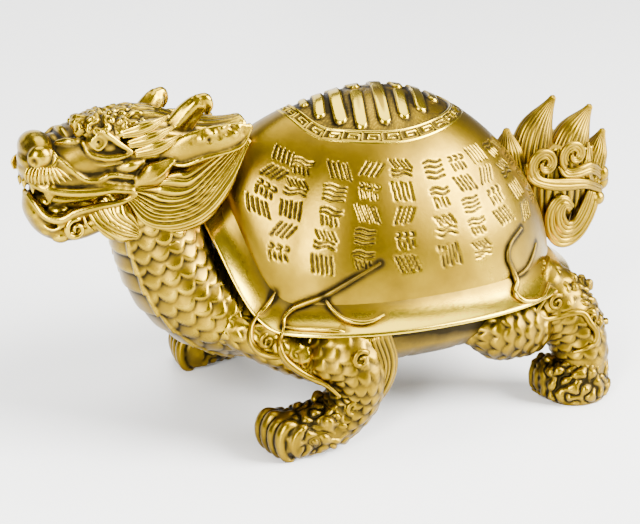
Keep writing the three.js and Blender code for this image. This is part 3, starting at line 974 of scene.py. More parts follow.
# Knobs of the brow and behind it: place and radius
BROW_KNOBS = (
    (-98.8, 6.6, 100, 2.6), (-95.4, 8.8, 100.2, 2.6), (-91.4, 9.6, 99.8, 2.4), (-87.6, 9.9, 99, 2.2),
    (-99, 7.4, 97.7, 1.9), (-84, 10, 98.2, 2), (-80.6, 8.8, 98, 1.7), (-96.6, 10, 98.4, 1.5),
    (-92.6, 11.2, 98, 1.5), (-88.8, 11.4, 96.8, 1.4), (-93.4, 6.4, 100.8, 2.0), (-89, 6.8, 100.4, 1.9),
)


# Hair on the back of the skull
def crown_relief(share, turn):
    return locks(22, 0.9)(share, turn) * (1 - smooth_step(0.52, 0.6, share))


# Where the brow is rough
def brow_share(place):
    along = smooth_step(-102, -100, place[:, 0]) * (1 - smooth_step(-82, -78, place[:, 0]))
    return smooth_step(97.4, 98.6, place[:, 2]) * along


# How much lower the far ear lies than the near one, mm
def ear_fall(x, far):
    return FAR_EAR_FALL * (x - EAR_ROOT) if far else 0


def head():
    forms = [
        limb(SKULL, SKULL_SIZES, 96, 100, relief=crown_relief),
        # nose
        ball((-110.2, 0, 92.2), (5.0, 8.0, 4.9), 36, 24),
        ball((-110.4, 0, 93.2), (4.7, 5.4, 4.1), 32, 20),
        ball((-112.3, -0.6, 89.4), (3.5, 6.0, 3.6), 28, 18),
        limb(JAW, JAW_SIZES, 48, 60),
        # tongue and back of the mouth
        limb([(-80, 0, 78), (-92, 0, 77), (-101, 0, 76.6), (-106.4, 0, 77.4), (-109.4, 0, 79)],
             [(10, 5), (8.4, 5), (6.2, 4.2), (4.6, 3), (2.4, 1.4)], 32, 34),
        ball((-107.6, 0.6, 80.4), (3.4, 5.2, 2.4)),
        ball((-109.4, 2.6, 79.4), (2.4, 4.2, 2.4)),
        ball((-108.6, 0.8, 76.4), (3.2, 5.2, 2.4)),
        ball((-105.2, 0.4, 73.8), (4.6, 6.6, 2.8)),
        # wrinkles over the bridge of the nose
        limb([(-104.8, -5.4, 93.4), (-105.2, 0, 94.8), (-104.8, 5.4, 93.4)],
             [(0.6, 0.7), (1.1, 1.2), (0.6, 0.7)], 12, 14, across=(0, 0, 1)),
        limb([(-102.2, -6.2, 95), (-102.6, 0, 96.8), (-102.2, 6.2, 95)],
             [(0.7, 0.8), (1.2, 1.3), (0.7, 0.8)], 12, 14, across=(0, 0, 1)),
    ]
    # low rolls of hair on the crown
    for k, x in enumerate((-97.4, -94.4, -91.2, -88, -84.8, -81.6, -78.4, -75.4)):
        forms.append(ball((x, 1.8 * (-1) ** k, 98 + 0.5 * math.sin(2 * k)), (2.3, 2.8, 2.3), 18, 12))
        forms.append(ball((x + 1.4, -2.6 * (-1) ** k, 97.6), (1.8, 2.2, 2.0), 16, 10))
    forms += both_sides(head_side)
    skin = one_skin("head", forms, HEAD_CELL)
    points = points_of(skin.data)
    for hollow in HOLLOWS:
        points = press(points, *hollow)
    for side in (-1, 1):
        for x, z, radius, depth in EAR_TEXTURE:
            points = press(points, (x, side * 18.6, z - ear_fall(x, side > 0)), radius, depth, (0, -side, 0))
    put_points(skin.data, points)
    roughen(skin, *BROW_LUMPS, brow_share)
    slim(skin, HEAD_TRIANGLES)
    return skin


def head_side(at):
    far = is_far(at)
    shift, drop = FAR_HORN_SHIFT if far else (0, 0)
    back = FAR_BROW_BACK if far else 0

    def horn(x, y, z):
        return at(x + shift, y, z + drop)

    def ear(x, y, z):
        return at(x, y, z - ear_fall(x, far))

    def eye(x, y, z):
        return at(x + 1.3 * back, y, z - 0.6 * back)

    forms = [
        # nose with its nostril wing
        ball(at(-111.0 + 1.5 * back, 6.7 - 0.5 * back, 91.3), (3.7, 2.6, 3.5), 24, 16),
        cord([at(-108, 7.0, 93.8), at(-106.8, 8.2, 91.6), at(-107.8, 8.9, 89.2), at(-110, 9.2, 88.2)], 0.5),
        # wrinkle that runs from the nose to the brow
        limb([at(-105.4, 4.6, 94.4), at(-102.8, 6.6, 94.9), at(-99.8, 8.0, 94.8), at(-98.2, 8.8, 95.6)],
             [(0.7, 0.7), (1.1, 1.1), (1.0, 1.0), (0.6, 0.6)], 14, 20, across=(0, 0, 1)),
        # filling between the lip and the skull
        limb([at(-110, 5.6, 84.4), at(-102, 7.4, 83.6), at(-96, 8.6, 83.4), at(-88, 9.8, 84),
              at(-80, 11, 84)],
             [(2.6, 3), (2.8, 3.4), (2.9, 3.4), (2.8, 4), (2.4, 4)], 24, 36),
        # eye in its lids
        ball(eye(-95.4, 9.9, 95.0), (3.2, 2.8, 3.2)),
        limb([eye(-97.6, 11.6, 95.2), eye(-95.4, 12.4, 97.3), eye(-93.2, 12.3, 95.2), eye(-95.4, 12.3, 93.0),
              eye(-97.6, 11.6, 95.2)], [(0.55, 0.55), (0.6, 0.6)], 8, 24, across=(0, 0.2, 1)),
        ball(at(-91.6, 10.4, 93.4), (3.6, 2, 2.4), 18, 12),
        cord([eye(-99.4, 9.4, 95.2), eye(-97.6, 11, 91.8), eye(-93.6, 12, 90.2), at(-88.6, 12.6, 90.2),
              at(-85.6, 13.2, 91)], 0.95, rows=24),
        cord([at(-100.4, 8.4, 93.8), at(-98.4, 10.4, 89.8), at(-94, 11.6, 88.2), at(-88.6, 12.6, 88.4)], 0.6),
        cord([eye(-98.8, 9.8, 97.2), eye(-95.4, 11.8, 98.8), at(-91.8 + back, 12.4, 96.4 - back),
              at(-88.6, 12.6, 93.6), at(-85.4, 13.2, 91.2)], 1.05, rows=24),
        # brow
        limb([at(-97.4 + 1.7 * back, 2.8, 97.4 - back), at(-96.8 + 1.7 * back, 6.2, 99.4 - back),
              at(-89.8, 9.4, 98.8 - back / 2), at(-83, 11.4, 95.8)],
             [(1.8, 1.8), (2.4, 2.3), (2.5, 2.2), (1.5, 1.2)], 20, 24),
        # folds from the nose to the corner of the mouth
        cord([at(-107.4, 7.8, 92), at(-104.6, 9.6, 89.2), at(-101.9, 10.1, 86.3), at(-98.6, 10.6, 83.9),
              at(-95.4, 11.2, 83.6), at(-92, 12, 84.9), at(-87.4, 12.6, 84), at(-82, 13.2, 82.8)],
             1.0, rows=36),
        cord([at(-104.6, 9.4, 86.4), at(-101.4, 9.9, 84), at(-98, 10.6, 82.4), at(-93.6, 12, 82.4),
              at(-88.8, 12.6, 81.7), at(-84.3, 13.4, 80.9)], 0.75, rows=30),
        cord([at(-102.8, 9.6, 90.2), at(-99.8, 10.2, 87.4), at(-96.2, 10.6, 86.2), at(-91.4, 11.4, 86.6)],
             0.5),
        # lips
        limb([at(-113.8, 3, 84.2), at(-111.8, 6.8, 82.7), at(-106.4, 9.3, 81), at(-101.1, 11, 80.5),
              at(-96.1, 12, 80.4), at(-92, 12.6, 80.6), at(-85.5, 13.4, 79.6)],
             [(0.9, 1.0), (1.2, 1.3), (1.2, 1.3), (0.9, 0.9)], 12, 36),
        limb([at(-113.6, 1.6, 79.4), at(-112.4, 4.4, 76.8), at(-109.8, 7, 73.2), at(-106.2, 8.6, 72.4),
              at(-102.4, 9.8, 74.4), at(-96, 11.4, 75.8), at(-88.9, 12.2, 76.6), at(-84.6, 13.4, 78.6)],
             [(0.8, 0.8), (1.2, 1.3), (1.2, 1.2), (0.9, 0.9)], 12, 40),
        # fangs
        limb([at(-108.8, 7.6, 83), at(-109, 8, 80), at(-109.2, 8, 77.4)],
             [(1.6, 2.0), (1.3, 1.6), (0.3, 0.3)], 12, 10),
        limb([at(-105.4, 8.6, 82), at(-105.6, 8.6, 79.6)], [(1.0, 1.3), (0.25, 0.25)], 10, 6),
        limb([at(-112.9, 5, 83), at(-113.2, 5.2, 80)], [(0.9, 1.1), (0.25, 0.25)], 10, 6),
        limb([at(-114.6, 2, 83.6), at(-114.8, 2.1, 80.8)], [(0.9, 1.0), (0.25, 0.25)], 10, 6),
        # chin
        ball(at(-108.8, 4.2, 69), (2.8, 2.8, 2.4), 16, 10),
        ball(at(-105.6, 5.4, 66.8), (3, 3, 2.4), 16, 10),
        ball(at(-112.2, 3.2, 73.6), (1.7, 2.6, 2.6), 16, 10),
        cord([at(-111.8, 5.6, 71), at(-108.6, 7.8, 69.4), at(-104.6, 9, 71.2), at(-99.6, 10, 73.4),
              at(-94, 10.8, 74)], 0.6, rows=24),
        # cheek leaf and the muscle before it
        limb([at(-84.6, 12.6, 81.6), at(-79.4, 14.6, 84.4), at(-73.2, 15.2, 88.6)],
             [(1.2, 1.6), (1.9, 3.8), (0.5, 0.6)], 20, 20),
        cord([at(-84, 14, 81.6), at(-79, 16.4, 84.2), at(-73.6, 15.8, 88)], 0.5, rows=14),
        limb([at(-89.6, 11.4, 86.6), at(-86, 12.6, 87), at(-82, 13, 88)],
             [(1, 1.2), (1.6, 1.9), (0.5, 0.7)], 14, 14),
        # ear: a smooth leaf with a pitted upper part
        limb([ear(-77, 12, 87), ear(-70, 15.4, 90), ear(-62, 17.6, 92.8), ear(-55, 18, 94.4),
              ear(-50.6, 18, 96)],
             [(1.2, 2.4), (1.7, 5.0), (1.7, 4.4), (1.4, 3.0), (0.8, 1.2)], 24, 40),
        cord([ear(-76.6, 13.6, 87.4), ear(-71.5, 16.4, 86.4), ear(-65.4, 18.4, 88.4), ear(-54.2, 19, 90.8),
              ear(-51, 18.8, 95)], 0.7, rows=30),
        cord([ear(-75, 14, 92.6), ear(-69, 16, 95.2), ear(-62, 17.8, 96.8), ear(-55, 18.4, 97),
              ear(-51.4, 18.4, 96.4)], 0.8, rows=30),
        # antler with a hooked tip
        limb([horn(-71, 7, 93), horn(-66.8, 8, 98.6), horn(-63.6, 9, 102.2), horn(-62.6, 9.4, 103.8)],
             [(2.8, 4.4), (2.8, 3.9), (2.4, 3.1), (1.7, 2.1)], 24, 30, relief=locks(6, 0.45, 0.3)),
        limb([horn(-63.2, 9, 103.4), horn(-61.4, 9.6, 103.4), horn(-60.4, 9.8, 101.2), horn(-61, 9.8, 98.8)],
             [(1.6, 1.6), (1.6, 1.7), (1.3, 1.3), (0.7, 0.7)], 14, 14),
    ]
    for x, y, z, radius in BROW_KNOBS:
        place = at(x + 1.7 * back, y - 0.4 * back, z - 0.9 * back)
        forms.append(ball(place, (radius * 1.2, radius, radius), 16, 10))
    return forms


# Hair of one side of the head, lying in fine strands
def hair(at, name):
    forms = [
        # mane sweeping down and back up to a point
        limb([at(-86.4, 11.4, 78.6), at(-79, 13.8, 75.2), at(-69.4, 15.2, 75.8), at(-60.8, 15.2, 81.8),
              at(-50.4, 14.4, 91.4)],
             [(2, 2.4), (3, 7.8), (3.3, 9.1), (2.9, 6.7), (0.8, 1)], 170, 60, relief=ridges(11, 1.0, 0.6)),
        # strands under the jaw
        limb([at(-94.4, 9, 76.8), at(-91.8, 10.9, 72.2), at(-88, 11.6, 68.4), at(-83.6, 11.6, 65.6)],
             [(1.4, 4.6), (2, 5.6), (1.7, 5), (0.5, 1.4)], 120, 30, relief=ridges(7, 0.8, 0.5)),
        # moustache
        *strands([
            [at(-114.6, 6.4, 88.6), at(-115.5, 6.4, 86.8), at(-115.2, 5.9, 84.8)],
            [at(-110.8, 9, 88.8), at(-111.4, 9.5, 86.2), at(-110.8, 8.9, 83.6)],
            [at(-107.2, 9.5, 88.4), at(-105, 10, 86.4), at(-102.6, 9.7, 83.8)],
        ], 11, 0.42, end=0.7, rows=10),
        # curls of the beard
        curl(at(-102.2, 9.4, 69.2), 3.3, 1.35, 1.2, 0.95, 0.8),
        curl(at(-102.2, 8.8, 69.2), 4.3, 0.6, 1.0, 0.7, 0.2),
        # wisps between the jaw and the neck
        cord([at(-98.6, 9.8, 74.6), at(-97.2, 10.6, 71.6), at(-94.4, 10.4, 69.4)], 0.5),
        cord([at(-100, 9.6, 73.6), at(-99.2, 10.2, 70.4), at(-97, 9.8, 68.2)], 0.5),
    ]
    # bold pointed locks behind the eye, the upper two lower on the far side
    low = FAR_LOCKS_LOW if is_far(at) else 0
    for x, y, z in ((0, 0, low), (1.6, 0.9, low - 2.9), (3.4, 1.6, -5.6)):
        path = [at(-88 + x, 11.4 + y, 96.4 + z), at(-81.6 + x, 13.2 + y, 98 + z),
                at(-74 + x, 12.8 + y, 100.6 + z)]
        sizes = [(1.0, 1.3), (1.5, 2.2), (0.3, 0.3)]
        forms.append(limb(path, sizes, 64, 26, relief=ridges(4, 0.35)))
    return joined(name, forms)


# Legs

FORE_PATH = [(-34, 31, 33), (-30.8, 36.5, 29.4), (-27.4, 40, 23), (-28, 40, 15.4), (-34, 39, 9),
             (-43, 38.5, 7), (-52, 38.5, 6.4)]
FORE_SIZES = [(7.5, 9.5), (9.5, 12.6), (9.5, 9.6), (8.5, 8), (8.6, 7.4), (8.6, 6.4), (7.6, 5.4)]
HIND_PATH = [(40, 26, 34), (47, 30, 29), (52, 33.5, 22), (53.5, 36.5, 13.5), (52.4, 38, 6)]
HIND_SIZES = [(10, 12), (10.5, 11), (10, 9.6), (9, 8.6), (7.6, 8)]
CLAW_SIZES = np.array([(1.5, 1.5), (1.9, 1.8), (2.0, 1.9), (1.9, 1.8), (1.6, 1.5), (1.1, 1.1)])
FORE_FOOT_KNOBS = [
    (-40.4, 44, 13.4), (-38, 39, 15.6), (-35.4, 45.6, 13.4), (-38, 47.6, 6.4), (-34.4, 47.2, 9.6),
    (-33, 46, 6), (-33.4, 44.8, 17), (-43.6, 46, 10),
]
HIND_FOOT_KNOBS = [
    (49.4, 46.2, 11), (54.6, 46.4, 8.8), (57.8, 43.8, 12.4), (51.6, 47.2, 5.4), (57.4, 45.9, 6.6),
    (53.2, 44.8, 13.6), (60, 41.8, 8.6), (47, 45.6, 6.4), (56.6, 42.0, 16.6), (46.6, 41, 12.2),
]
HIP_KNOBS = [
    (51.1, 33.7, 37.2), (52.5, 36.4, 35.4), (55.3, 36.8, 31.6), (57.2, 38.6, 26.8), (57.6, 40.6, 23),
    (51.8, 38.9, 32.4), (53.3, 41, 28.3), (55.4, 42, 24.4), (48.6, 37.4, 35.8), (47.6, 39.4, 31.8),
    (58.6, 35.6, 28.4), (59.4, 37, 23.4), (58.8, 39.6, 19.4), (55.6, 33.4, 35.2),
]


# Four broad claws side by side that make the foot's flat front, rolled over a low instep. The
# foot is turned a little outwards.
def claws(at, x, y, z, apart, thick):
    forms = [
        limb([at(x - 1, y - 8, z - 0.6), at(x - 0.4, y - 4, z - 0.2), at(x + 0.8, y + 4, z - 0.2),
              at(x + 1.8, y + 8, z - 0.6)],
             [(5.2, 4.4), (5.8, 5.2), (5.8, 5.2), (5.2, 4.4)], 32, 24, across=(0, 0, 1)),
        ball(at(x + 4.4, y + 6.2, z - 2), (5.2, 2.2, 3.8), 24, 14),
        ball(at(x + 3, y - 6.2, z - 2), (5.2, 2.2, 3.8), 24, 14),
    ]
    for k in range(4):
        aside = (k - 1.5) * apart
        back = 0.16 * aside + 0.3 * abs(k - 1.5)
        top = 0.5 * math.sin(2.1 * k)
        path = [at(x + 0.6 + back, y + aside * 0.96, z + 3.4 + top)]
        for ahead, up in ((3.9, 4.7 + top), (5.8, 2.2), (6.0, -1.8), (4.7, -5.2), (2.4, -7)):
            path.append(at(x - ahead + back, y + aside, z + up))
        forms.append(limb(path, CLAW_SIZES * thick, 20, 44))
    return forms


# A foot as one skin with a flat closed sole, rough behind its toes
def foot_skin(forms, toes_end):
    def rough_share(place):
        behind = smooth_step(toes_end - 1, toes_end + 1.5, place[:, 0])
        return behind * smooth_step(0.2, 2, place[:, 2])

    obj = one_skin("foot", forms, FOOT_CELL)
    roughen(obj, *FOOT_LUMPS, rough_share)
    slim(obj, FOOT_TRIANGLES)
    edit_all(obj, bpy.ops.mesh.bisect, plane_co=(0, 0, SOLE_LEVEL * MM), plane_no=(0, 0, 1),
             clear_inner=True, use_fill=True, threshold=1e-7)
    return obj


# Low knobs scattered over a foot or a hip, sunk into it by so many mm
def knobs(at, places, sunk):
    made = []
    for k, (x, y, z) in enumerate(places):
        radii = (1.2 + 0.2 * math.sin(3 * k), 1, 1.1 - 0.15 * math.cos(5 * k))
        made.append(ball(at(x, y - sunk, z - 0.5 * sunk), [KNOB_SIZE * radius for radius in radii], 16, 10))
    return made


def fore_leg(at, name):
    foot = foot_skin(claws(at, -48.6, 38.2, 6.8, 3.7, 0.95) + [
        limb([at(-52, 38.5, 6.4), at(-43, 38.5, 7), at(-34, 39, 9), at(-30, 39.6, 14)],
             [(8, 6.4), (8.8, 7.4), (8.4, 7.6), (6, 6)], 40, 40),
        ball(at(-38.6, 45.2, 9.6), (5, 2.4, 4.6), 20, 12),
    ] + knobs(at, FORE_FOOT_KNOBS, 2.2), -48.6)
    forms = [
        limb([at(*p) for p in FORE_PATH], FORE_SIZES, 150, 116, relief=scales(18, 15, 0.9, (-0.1, 0.66))),
        foot,
        # tuft behind the elbow, with curls
        limb([at(-22.4, 44, 35.4), at(-20.2, 45, 26), at(-23, 44.2, 17.5), at(-29.4, 43, 10.8)],
             [(2, 4.4), (2.6, 4.2), (2.4, 3.6), (0.8, 1)], 90, 44, relief=ridges(6, 0.6)),
        curl(at(-29.4, 47.8, 30.2), 2.9, 1.3, 0.6, 0.9, 0.7),
        curl(at(-27.6, 47.8, 22), 2.7, 1.3, 0.4, 0.85, 0.6),
        curl(at(-31.6, 47.2, 14.4), 2.5, 1.3, 0.2, 0.85, 0.5),
        # raised lines that run from the skirt down over the shoulder, and the scroll between them
        cord([at(-47.3, 32.9, 38.4), at(-48.7, 33.8, 35.6), at(-50.4, 36.5, 33.8), at(-49.3, 37.7, 30.2),
              at(-46, 39.4, 26.7), at(-42.4, 41.1, 24.2), at(-38.4, 44.1, 22), at(-35.6, 46.8, 19)],
             1.05, rows=44),
        cord([at(-53.2, 27.5, 41.3), at(-56.3, 29.2, 38.3), at(-57.3, 31.4, 34.8), at(-55.4, 33.6, 31.6),
              at(-52.1, 36.2, 30.6), at(-49.6, 37.6, 30.8)], 1.0, rows=36),
        curl(at(-53.2, 34.0, 35), 2.4, 1.3, 1.6, 0.7, 0.4),
    ]
    return joined(name, forms)


def hind_leg(at, name):
    foot = foot_skin(claws(at, 46.4, 35.8, 6.7, 2.9, 1.0) + [
        ball(at(51.4, 38.6, 4.6), (10.6, 9.0, 9), 40, 24),
        limb([at(46, 38.5, 8), at(51.6, 38, 10), at(53.4, 37, 15)], [(8, 5), (8.6, 6), (7, 6)], 32, 24),
    ] + knobs(at, HIND_FOOT_KNOBS, 2.3), 39)
    thigh = one_skin("thigh", [
        limb([at(40, 27.4, 35), at(48, 30.4, 31), at(54, 34.4, 24), at(55, 37.6, 15)],
             [(8, 8.6), (8.6, 8.6), (7.6, 6.8), (6, 5)], 36, 30),
    ] + knobs(at, HIP_KNOBS, 1.0), THIGH_CELL)
    roughen(thigh, *THIGH_LUMPS, lambda place: 1.0)
    slim(thigh, THIGH_TRIANGLES)
    forms = [
        thigh,
        limb([at(*p) for p in HIND_PATH], HIND_SIZES, 110, 90, relief=scales(11, 11, 1.1, (0.05, 0.8))),
        foot,
        # scaly flank between the legs
        limb([at(46, 33, 25), at(38, 33, 25), at(30, 33, 25), at(22, 33, 25), at(14, 33, 25)],
             [(3, 3), (8, 8.6), (9, 9.5), (8, 8.6), (3, 3)], 104, 84,
             relief=scales(9, 11, 1.2, (0.05, 0.95))),
        # raised line over the hip, with a scroll inside its bend
        cord([at(41.3, 36.2, 39), at(38.4, 38.6, 35.4), at(35.6, 39, 31.3), at(37.9, 39.4, 28.8),
              at(42.6, 39.4, 28.6), at(47.2, 41, 29.8), at(50.8, 41.6, 29.2), at(52.4, 43.2, 26.5),
              at(54.4, 44, 23), at(53.4, 44.4, 19.9), at(49.8, 44.8, 18.6), at(46.6, 43, 17.4)],
             1.1, rows=60),
        curl(at(42.2, 39.2, 33.4), 2.7, 1.3, 0.8, 0.8, 0.5),
        curl(at(53.6, 42.4, 27.6), 2.2, 1.2, 2.8, 0.6, 0.4),
        curl(at(56.6, 40.8, 21.6), 2.0, 1.2, 1.8, 0.6, 0.4),
    ]
    return joined(name, forms)


# Tail

# Grooves of a flame, shallower towards its tip
def flame_relief(share, turn):
    return locks(26, 0.75)(share, turn) * (1 - 0.6 * share)


def flame(root, bend, tip, half):
    return limb([root, bend, tip], [(6, half), (5, half * 0.9), (1, 0.9)], 100, 36, relief=flame_relief)


# A curl of three strands, one inside the other
def scroll(centre, radius, start):
    x, y, z = centre
    made = []
    for k in range(3):
        inner = (x, y - math.copysign(0.35 * k, y), z)
        made.append(curl(inner, radius - 1.5 * k, 1.2, start - 0.12 * k, 0.95, 0.6, -1, 44))
    return made


# A fan of flames with curls on both faces
def tail():
    forms = [
        limb([(65, 0, 41), (65, 0, 50), (65, 0, 60), (66, 0, 71)], [(7, 5), (14, 7.6), (15.4, 8), (12, 6.4)],
             130, 50, (1, 0, 0), locks(34, 0.8, 0.2)),
        flame((54, 0, 62), (56, 0, 76), (62.5, 0, 87.4), 7),
        flame((66, 0, 64), (70.5, 0, 74), (76.6, 0, 82.8), 6.6),
        flame((76, 0, 58), (79, 0, 67), (82, 0, 74), 4.4),
        flame((48, 0, 62), (46, 0, 72), (45.5, 0, 78.6), 5),
        ball((80.6, 0, 57.5), (3.2, 5, 4)),
    ]
    forms += both_sides(lambda at: [
        # bands that run from the knot at the back to the two curls
        *strands([
            [at(48.6, 8.2, 68.6), at(49.4, 9, 63.6), at(54.6, 9.8, 60.8), at(61.7, 9.9, 59.4),
             at(70.3, 9.4, 58.6), at(78, 6.8, 55)],
            [at(51.6, 8.2, 67.2), at(53, 9, 63.8), at(57, 9.4, 62.4), at(63.4, 9.8, 61.8),
             at(71, 9.2, 60.4), at(78, 6.4, 57)],
        ], 5, 0.85, end=0.8, rows=40),
        *strands([
            [at(60.6, 8, 66.4), at(62.6, 8.8, 63), at(67, 9.2, 62.6), at(72.4, 8.6, 63.2), at(77.6, 6.4, 60)],
            [at(63.4, 8, 65), at(65.6, 8.6, 64.6), at(69, 8.8, 65.2), at(73, 8, 65.6), at(78.4, 5.6, 62)],
        ], 4, 0.8, end=0.8, rows=30),
        # lower band, doubled back in a U
        *strands([
            [at(77.6, 6, 54.6), at(74.4, 8, 48.6), at(69, 8.6, 41.6), at(62.4, 8.8, 39.6), at(57, 8.8, 45),
             at(57.4, 8.6, 53), at(62, 9, 56.6), at(66, 9.2, 52.6)],
            [at(72.4, 8, 56.6), at(70, 9, 52.6), at(67.2, 9.4, 48.4), at(64.6, 9.6, 46.8),
             at(62.4, 9.6, 48.8), at(62, 9.4, 51.4), at(63, 9.6, 52.8), at(64.2, 9.8, 51.4)],
        ], 6, 1.0, end=0.8, rows=60),
        *scroll(at(54.8, 8.8, 68.0), 5.9, math.pi * 1.2),
        *scroll(at(66.0, 8.4, 69.6), 5.5, math.pi * 1.3),
        # knots at the back
        ball(at(79.4, 4.4, 60.6), (2.4, 2.4, 2.8), 16, 10),
        ball(at(76.8, 6.4, 53.2), (2.5, 2.4, 2.5), 16, 10),
        limb([at(74, 5, 57), at(72, 6.6, 64), at(73.4, 5, 72)], [(1.6, 2.4), (1.4, 2), (0.4, 0.4)],
             40, 20, relief=ridges(3, 0.4)),
    ])
    return joined("tail", forms)


# Brass

# The linear colour of an sRGB hex value
def linear(hex_code):
    values = [int(hex_code[k:k + 2], 16) / 255 for k in (1, 3, 5)]
    return tuple(v / 12.92 if v <= 0.04045 else ((v + 0.055) / 1.055) ** 2.4 for v in values) + (1.0,)


# Adds a node with its settings, its inputs' values and the sockets that feed them
def add(tree, kind, settings=None, inputs=None, links=None):
    node = tree.nodes.new(kind)
    for name, value in (settings or {}).items():
        setattr(node, name, value)
    for name, value in (inputs or {}).items():
        node.inputs[name].default_value = value
    for name, socket in (links or {}).items():
        tree.links.new(socket, node.inputs[name])
    return node


# Cast brass, rubbed bright: pale gold where hands and polish reach, brown patina left in the hollows, satin
# with a faint sand-cast grain. Its tone also follows the painted shade on undersides and the belly and the
# painted highlight on the skirt's edge.
def cast_brass():
    material = bpy.data.materials.new("cast_brass")
    material.use_nodes = True
    tree = material.node_tree
    tree.nodes.clear()
    place = add(tree, "ShaderNodeTexCoord").outputs["Object"]
    fine = add(tree, "ShaderNodeAttribute", {"attribute_name": "fine_crest"}).outputs["Fac"]
    broad = add(tree, "ShaderNodeAttribute", {"attribute_name": "broad_crest"}).outputs["Fac"]
    patches = add(tree, "ShaderNodeTexNoise",
                  inputs={"Scale": 1 / (PATCH_SIZE * MM), "Detail": 5.0, "Roughness": 0.6},
                  links={"Vector": place}).outputs["Fac"]
    grain = add(tree, "ShaderNodeTexNoise",
                inputs={"Scale": 1 / (GRAIN_SIZE * MM), "Detail": 3.0, "Roughness": 0.6},
                links={"Vector": place}).outputs["Fac"]
    # wear and painted light: 0 where patina stays and where shade is painted, 1 where the brass is rubbed
    # bright and where the skirt's highlight is painted
    relief = add(tree, "ShaderNodeMath", {"operation": "MULTIPLY_ADD"},
                 inputs={1: FINE_COUNTS}, links={0: fine, 2: broad}).outputs[0]
    varied = add(tree, "ShaderNodeMath", {"operation": "MULTIPLY_ADD"},
                 inputs={1: PATCHES_COUNT}, links={0: patches, 2: relief}).outputs[0]
    wear_and_painted_light = add(tree, "ShaderNodeMapRange",
               inputs={"From Min": WEAR_AND_LIGHT_RANGE[0], "From Max": WEAR_AND_LIGHT_RANGE[1]},
               links={"Value": varied}).outputs["Result"]
    tone = add(tree, "ShaderNodeValToRGB", links={"Fac": wear_and_painted_light})
    for _ in BRASS_TONES[2:]:
        tone.color_ramp.elements.new(0.5)
    for element, (position, hex_code) in zip(tone.color_ramp.elements, BRASS_TONES):
        element.position = position
        element.color = linear(hex_code)
    # the patina is duller than the rubbed brass, and the grain varies both a little
    satin = add(tree, "ShaderNodeMapRange", inputs={
        "From Min": 0.1, "From Max": 0.9, "To Min": PATINA_ROUGHNESS, "To Max": RUBBED_ROUGHNESS,
    }, links={"Value": wear_and_painted_light}).outputs["Result"]
    uneven = add(tree, "ShaderNodeMath", {"operation": "MULTIPLY_ADD"},
                 inputs={1: GRAIN_ROUGHNESS}, links={0: grain, 2: satin}).outputs[0]
    rough = add(tree, "ShaderNodeMath", {"operation": "SUBTRACT"},
                inputs={1: GRAIN_ROUGHNESS / 2}, links={0: uneven}).outputs[0]
    bump = add(tree, "ShaderNodeBump",
               inputs={"Strength": GRAIN_STRENGTH, "Distance": GRAIN_HEIGHT * MM},
               links={"Height": grain})
    shader = add(tree, "ShaderNodeBsdfPrincipled", inputs={"Metallic": 1.0}, links={
        "Base Color": tone.outputs["Color"], "Roughness": rough, "Normal": bump.outputs["Normal"],
    })
    add(tree, "ShaderNodeOutputMaterial", links={"Surface": shader.outputs["BSDF"]})
    return material


# Gives a piece its wear with painted shade underneath, its brass and its shading, with edges over an angle in
# degrees kept sharp, and tells what it stands for
def finish_piece(obj, material, kind, angle=None):
    obj.data.validate()
    note_wear_and_shade(obj, PATINA[kind])
    obj.data.materials.clear()
    obj.data.materials.append(material)
    make_active(obj)
    if angle is None:
        bpy.ops.object.shade_smooth()
    else:
        bpy.ops.object.shade_smooth_by_angle(angle=math.radians(angle))
    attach(obj, "root")
    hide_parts("dragon_turtle")


# Studio

def lamp(name, place, size, power):
    data = bpy.data.lights.new(name, "AREA")
    data.shape = "RECTANGLE"
    data.size, data.size_y = size
    data.energy = power
    obj = new_object(name, data)
    obj.location = place
    obj.rotation_euler = (LAMPS_FACE - Vector(place)).to_track_quat("-Z", "Y").to_euler()


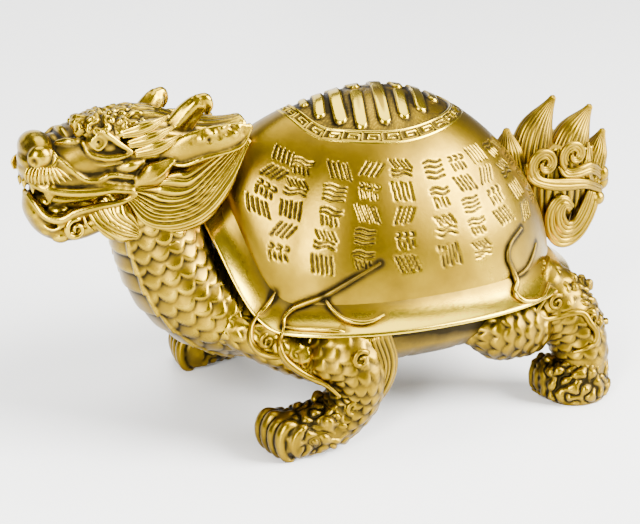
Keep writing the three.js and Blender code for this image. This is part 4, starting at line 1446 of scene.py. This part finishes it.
def studio():
    scene = bpy.context.scene
    world = bpy.data.worlds.new("studio")
    world.use_nodes = True
    background = world.node_tree.nodes["Background"]
    background.inputs["Color"].default_value = (1, 1, 1, 1)
    background.inputs["Strength"].default_value = ROOM_STRENGTH
    scene.world = world
    floor = plain(bpy.ops.mesh.primitive_plane_add, size=FLOOR_SIZE)
    floor.name = "floor"
    pale = bpy.data.materials.new("pale_floor")
    pale.use_nodes = True
    shader = pale.node_tree.nodes["Principled BSDF"]
    shader.inputs["Base Color"].default_value = linear(FLOOR_COLOUR)
    shader.inputs["Roughness"].default_value = FLOOR_ROUGHNESS
    floor.data.materials.append(pale)
    for settings in LAMPS:
        lamp(*settings)
    # a wide soft overhead light, the same over the whole floor
    sky = bpy.data.lights.new("overhead", "SUN")
    sky.energy = OVERHEAD_STRENGTH
    sky.angle = OVERHEAD_WIDTH
    new_object("overhead", sky).rotation_euler = OVERHEAD_LEAN

    lens = bpy.data.cameras.new("camera")
    lens.lens = VIEW_LENS
    lens.sensor_width = VIEW_SENSOR
    camera = new_object("camera", lens)
    level = math.cos(VIEW_ELEVATION)
    away = Vector((
        -math.sin(VIEW_AZIMUTH) * level, -math.cos(VIEW_AZIMUTH) * level, math.sin(VIEW_ELEVATION),
    ))
    camera.location = (VIEW_TARGET + away * VIEW_DISTANCE) * MM
    camera.rotation_euler = (-away).to_track_quat("-Z", "Y").to_euler()
    scene.camera = camera


def build():
    brass = cast_brass()
    grid = outer_grid()
    dome, skirt = shell_dome(grid), shell_skirt(grid)
    finish_piece(dome, brass, "shell")
    finish_piece(skirt, brass, "shell", angle=40)
    shade_shell(dome)
    shade_shell(skirt)
    top = medallion()
    finish_piece(top, brass, "medallion")
    polish_strokes(top)
    finish_piece(neck(), brass, "neck")
    finish_piece(head(), brass, "head")
    for side, word in ((-1, "left"), (1, "right")):
        at = on_side(side)
        finish_piece(hair(at, "hair_" + word), brass, "hair")
        finish_piece(fore_leg(at, "fore_leg_" + word), brass, "leg")
        finish_piece(hind_leg(at, "hind_leg_" + word), brass, "leg")
    finish_piece(tail(), brass, "tail")


studio()
build()
for mesh in [kept[0] for kept in _rods.values()] + list(_balls.values()):
    bpy.data.meshes.remove(mesh)
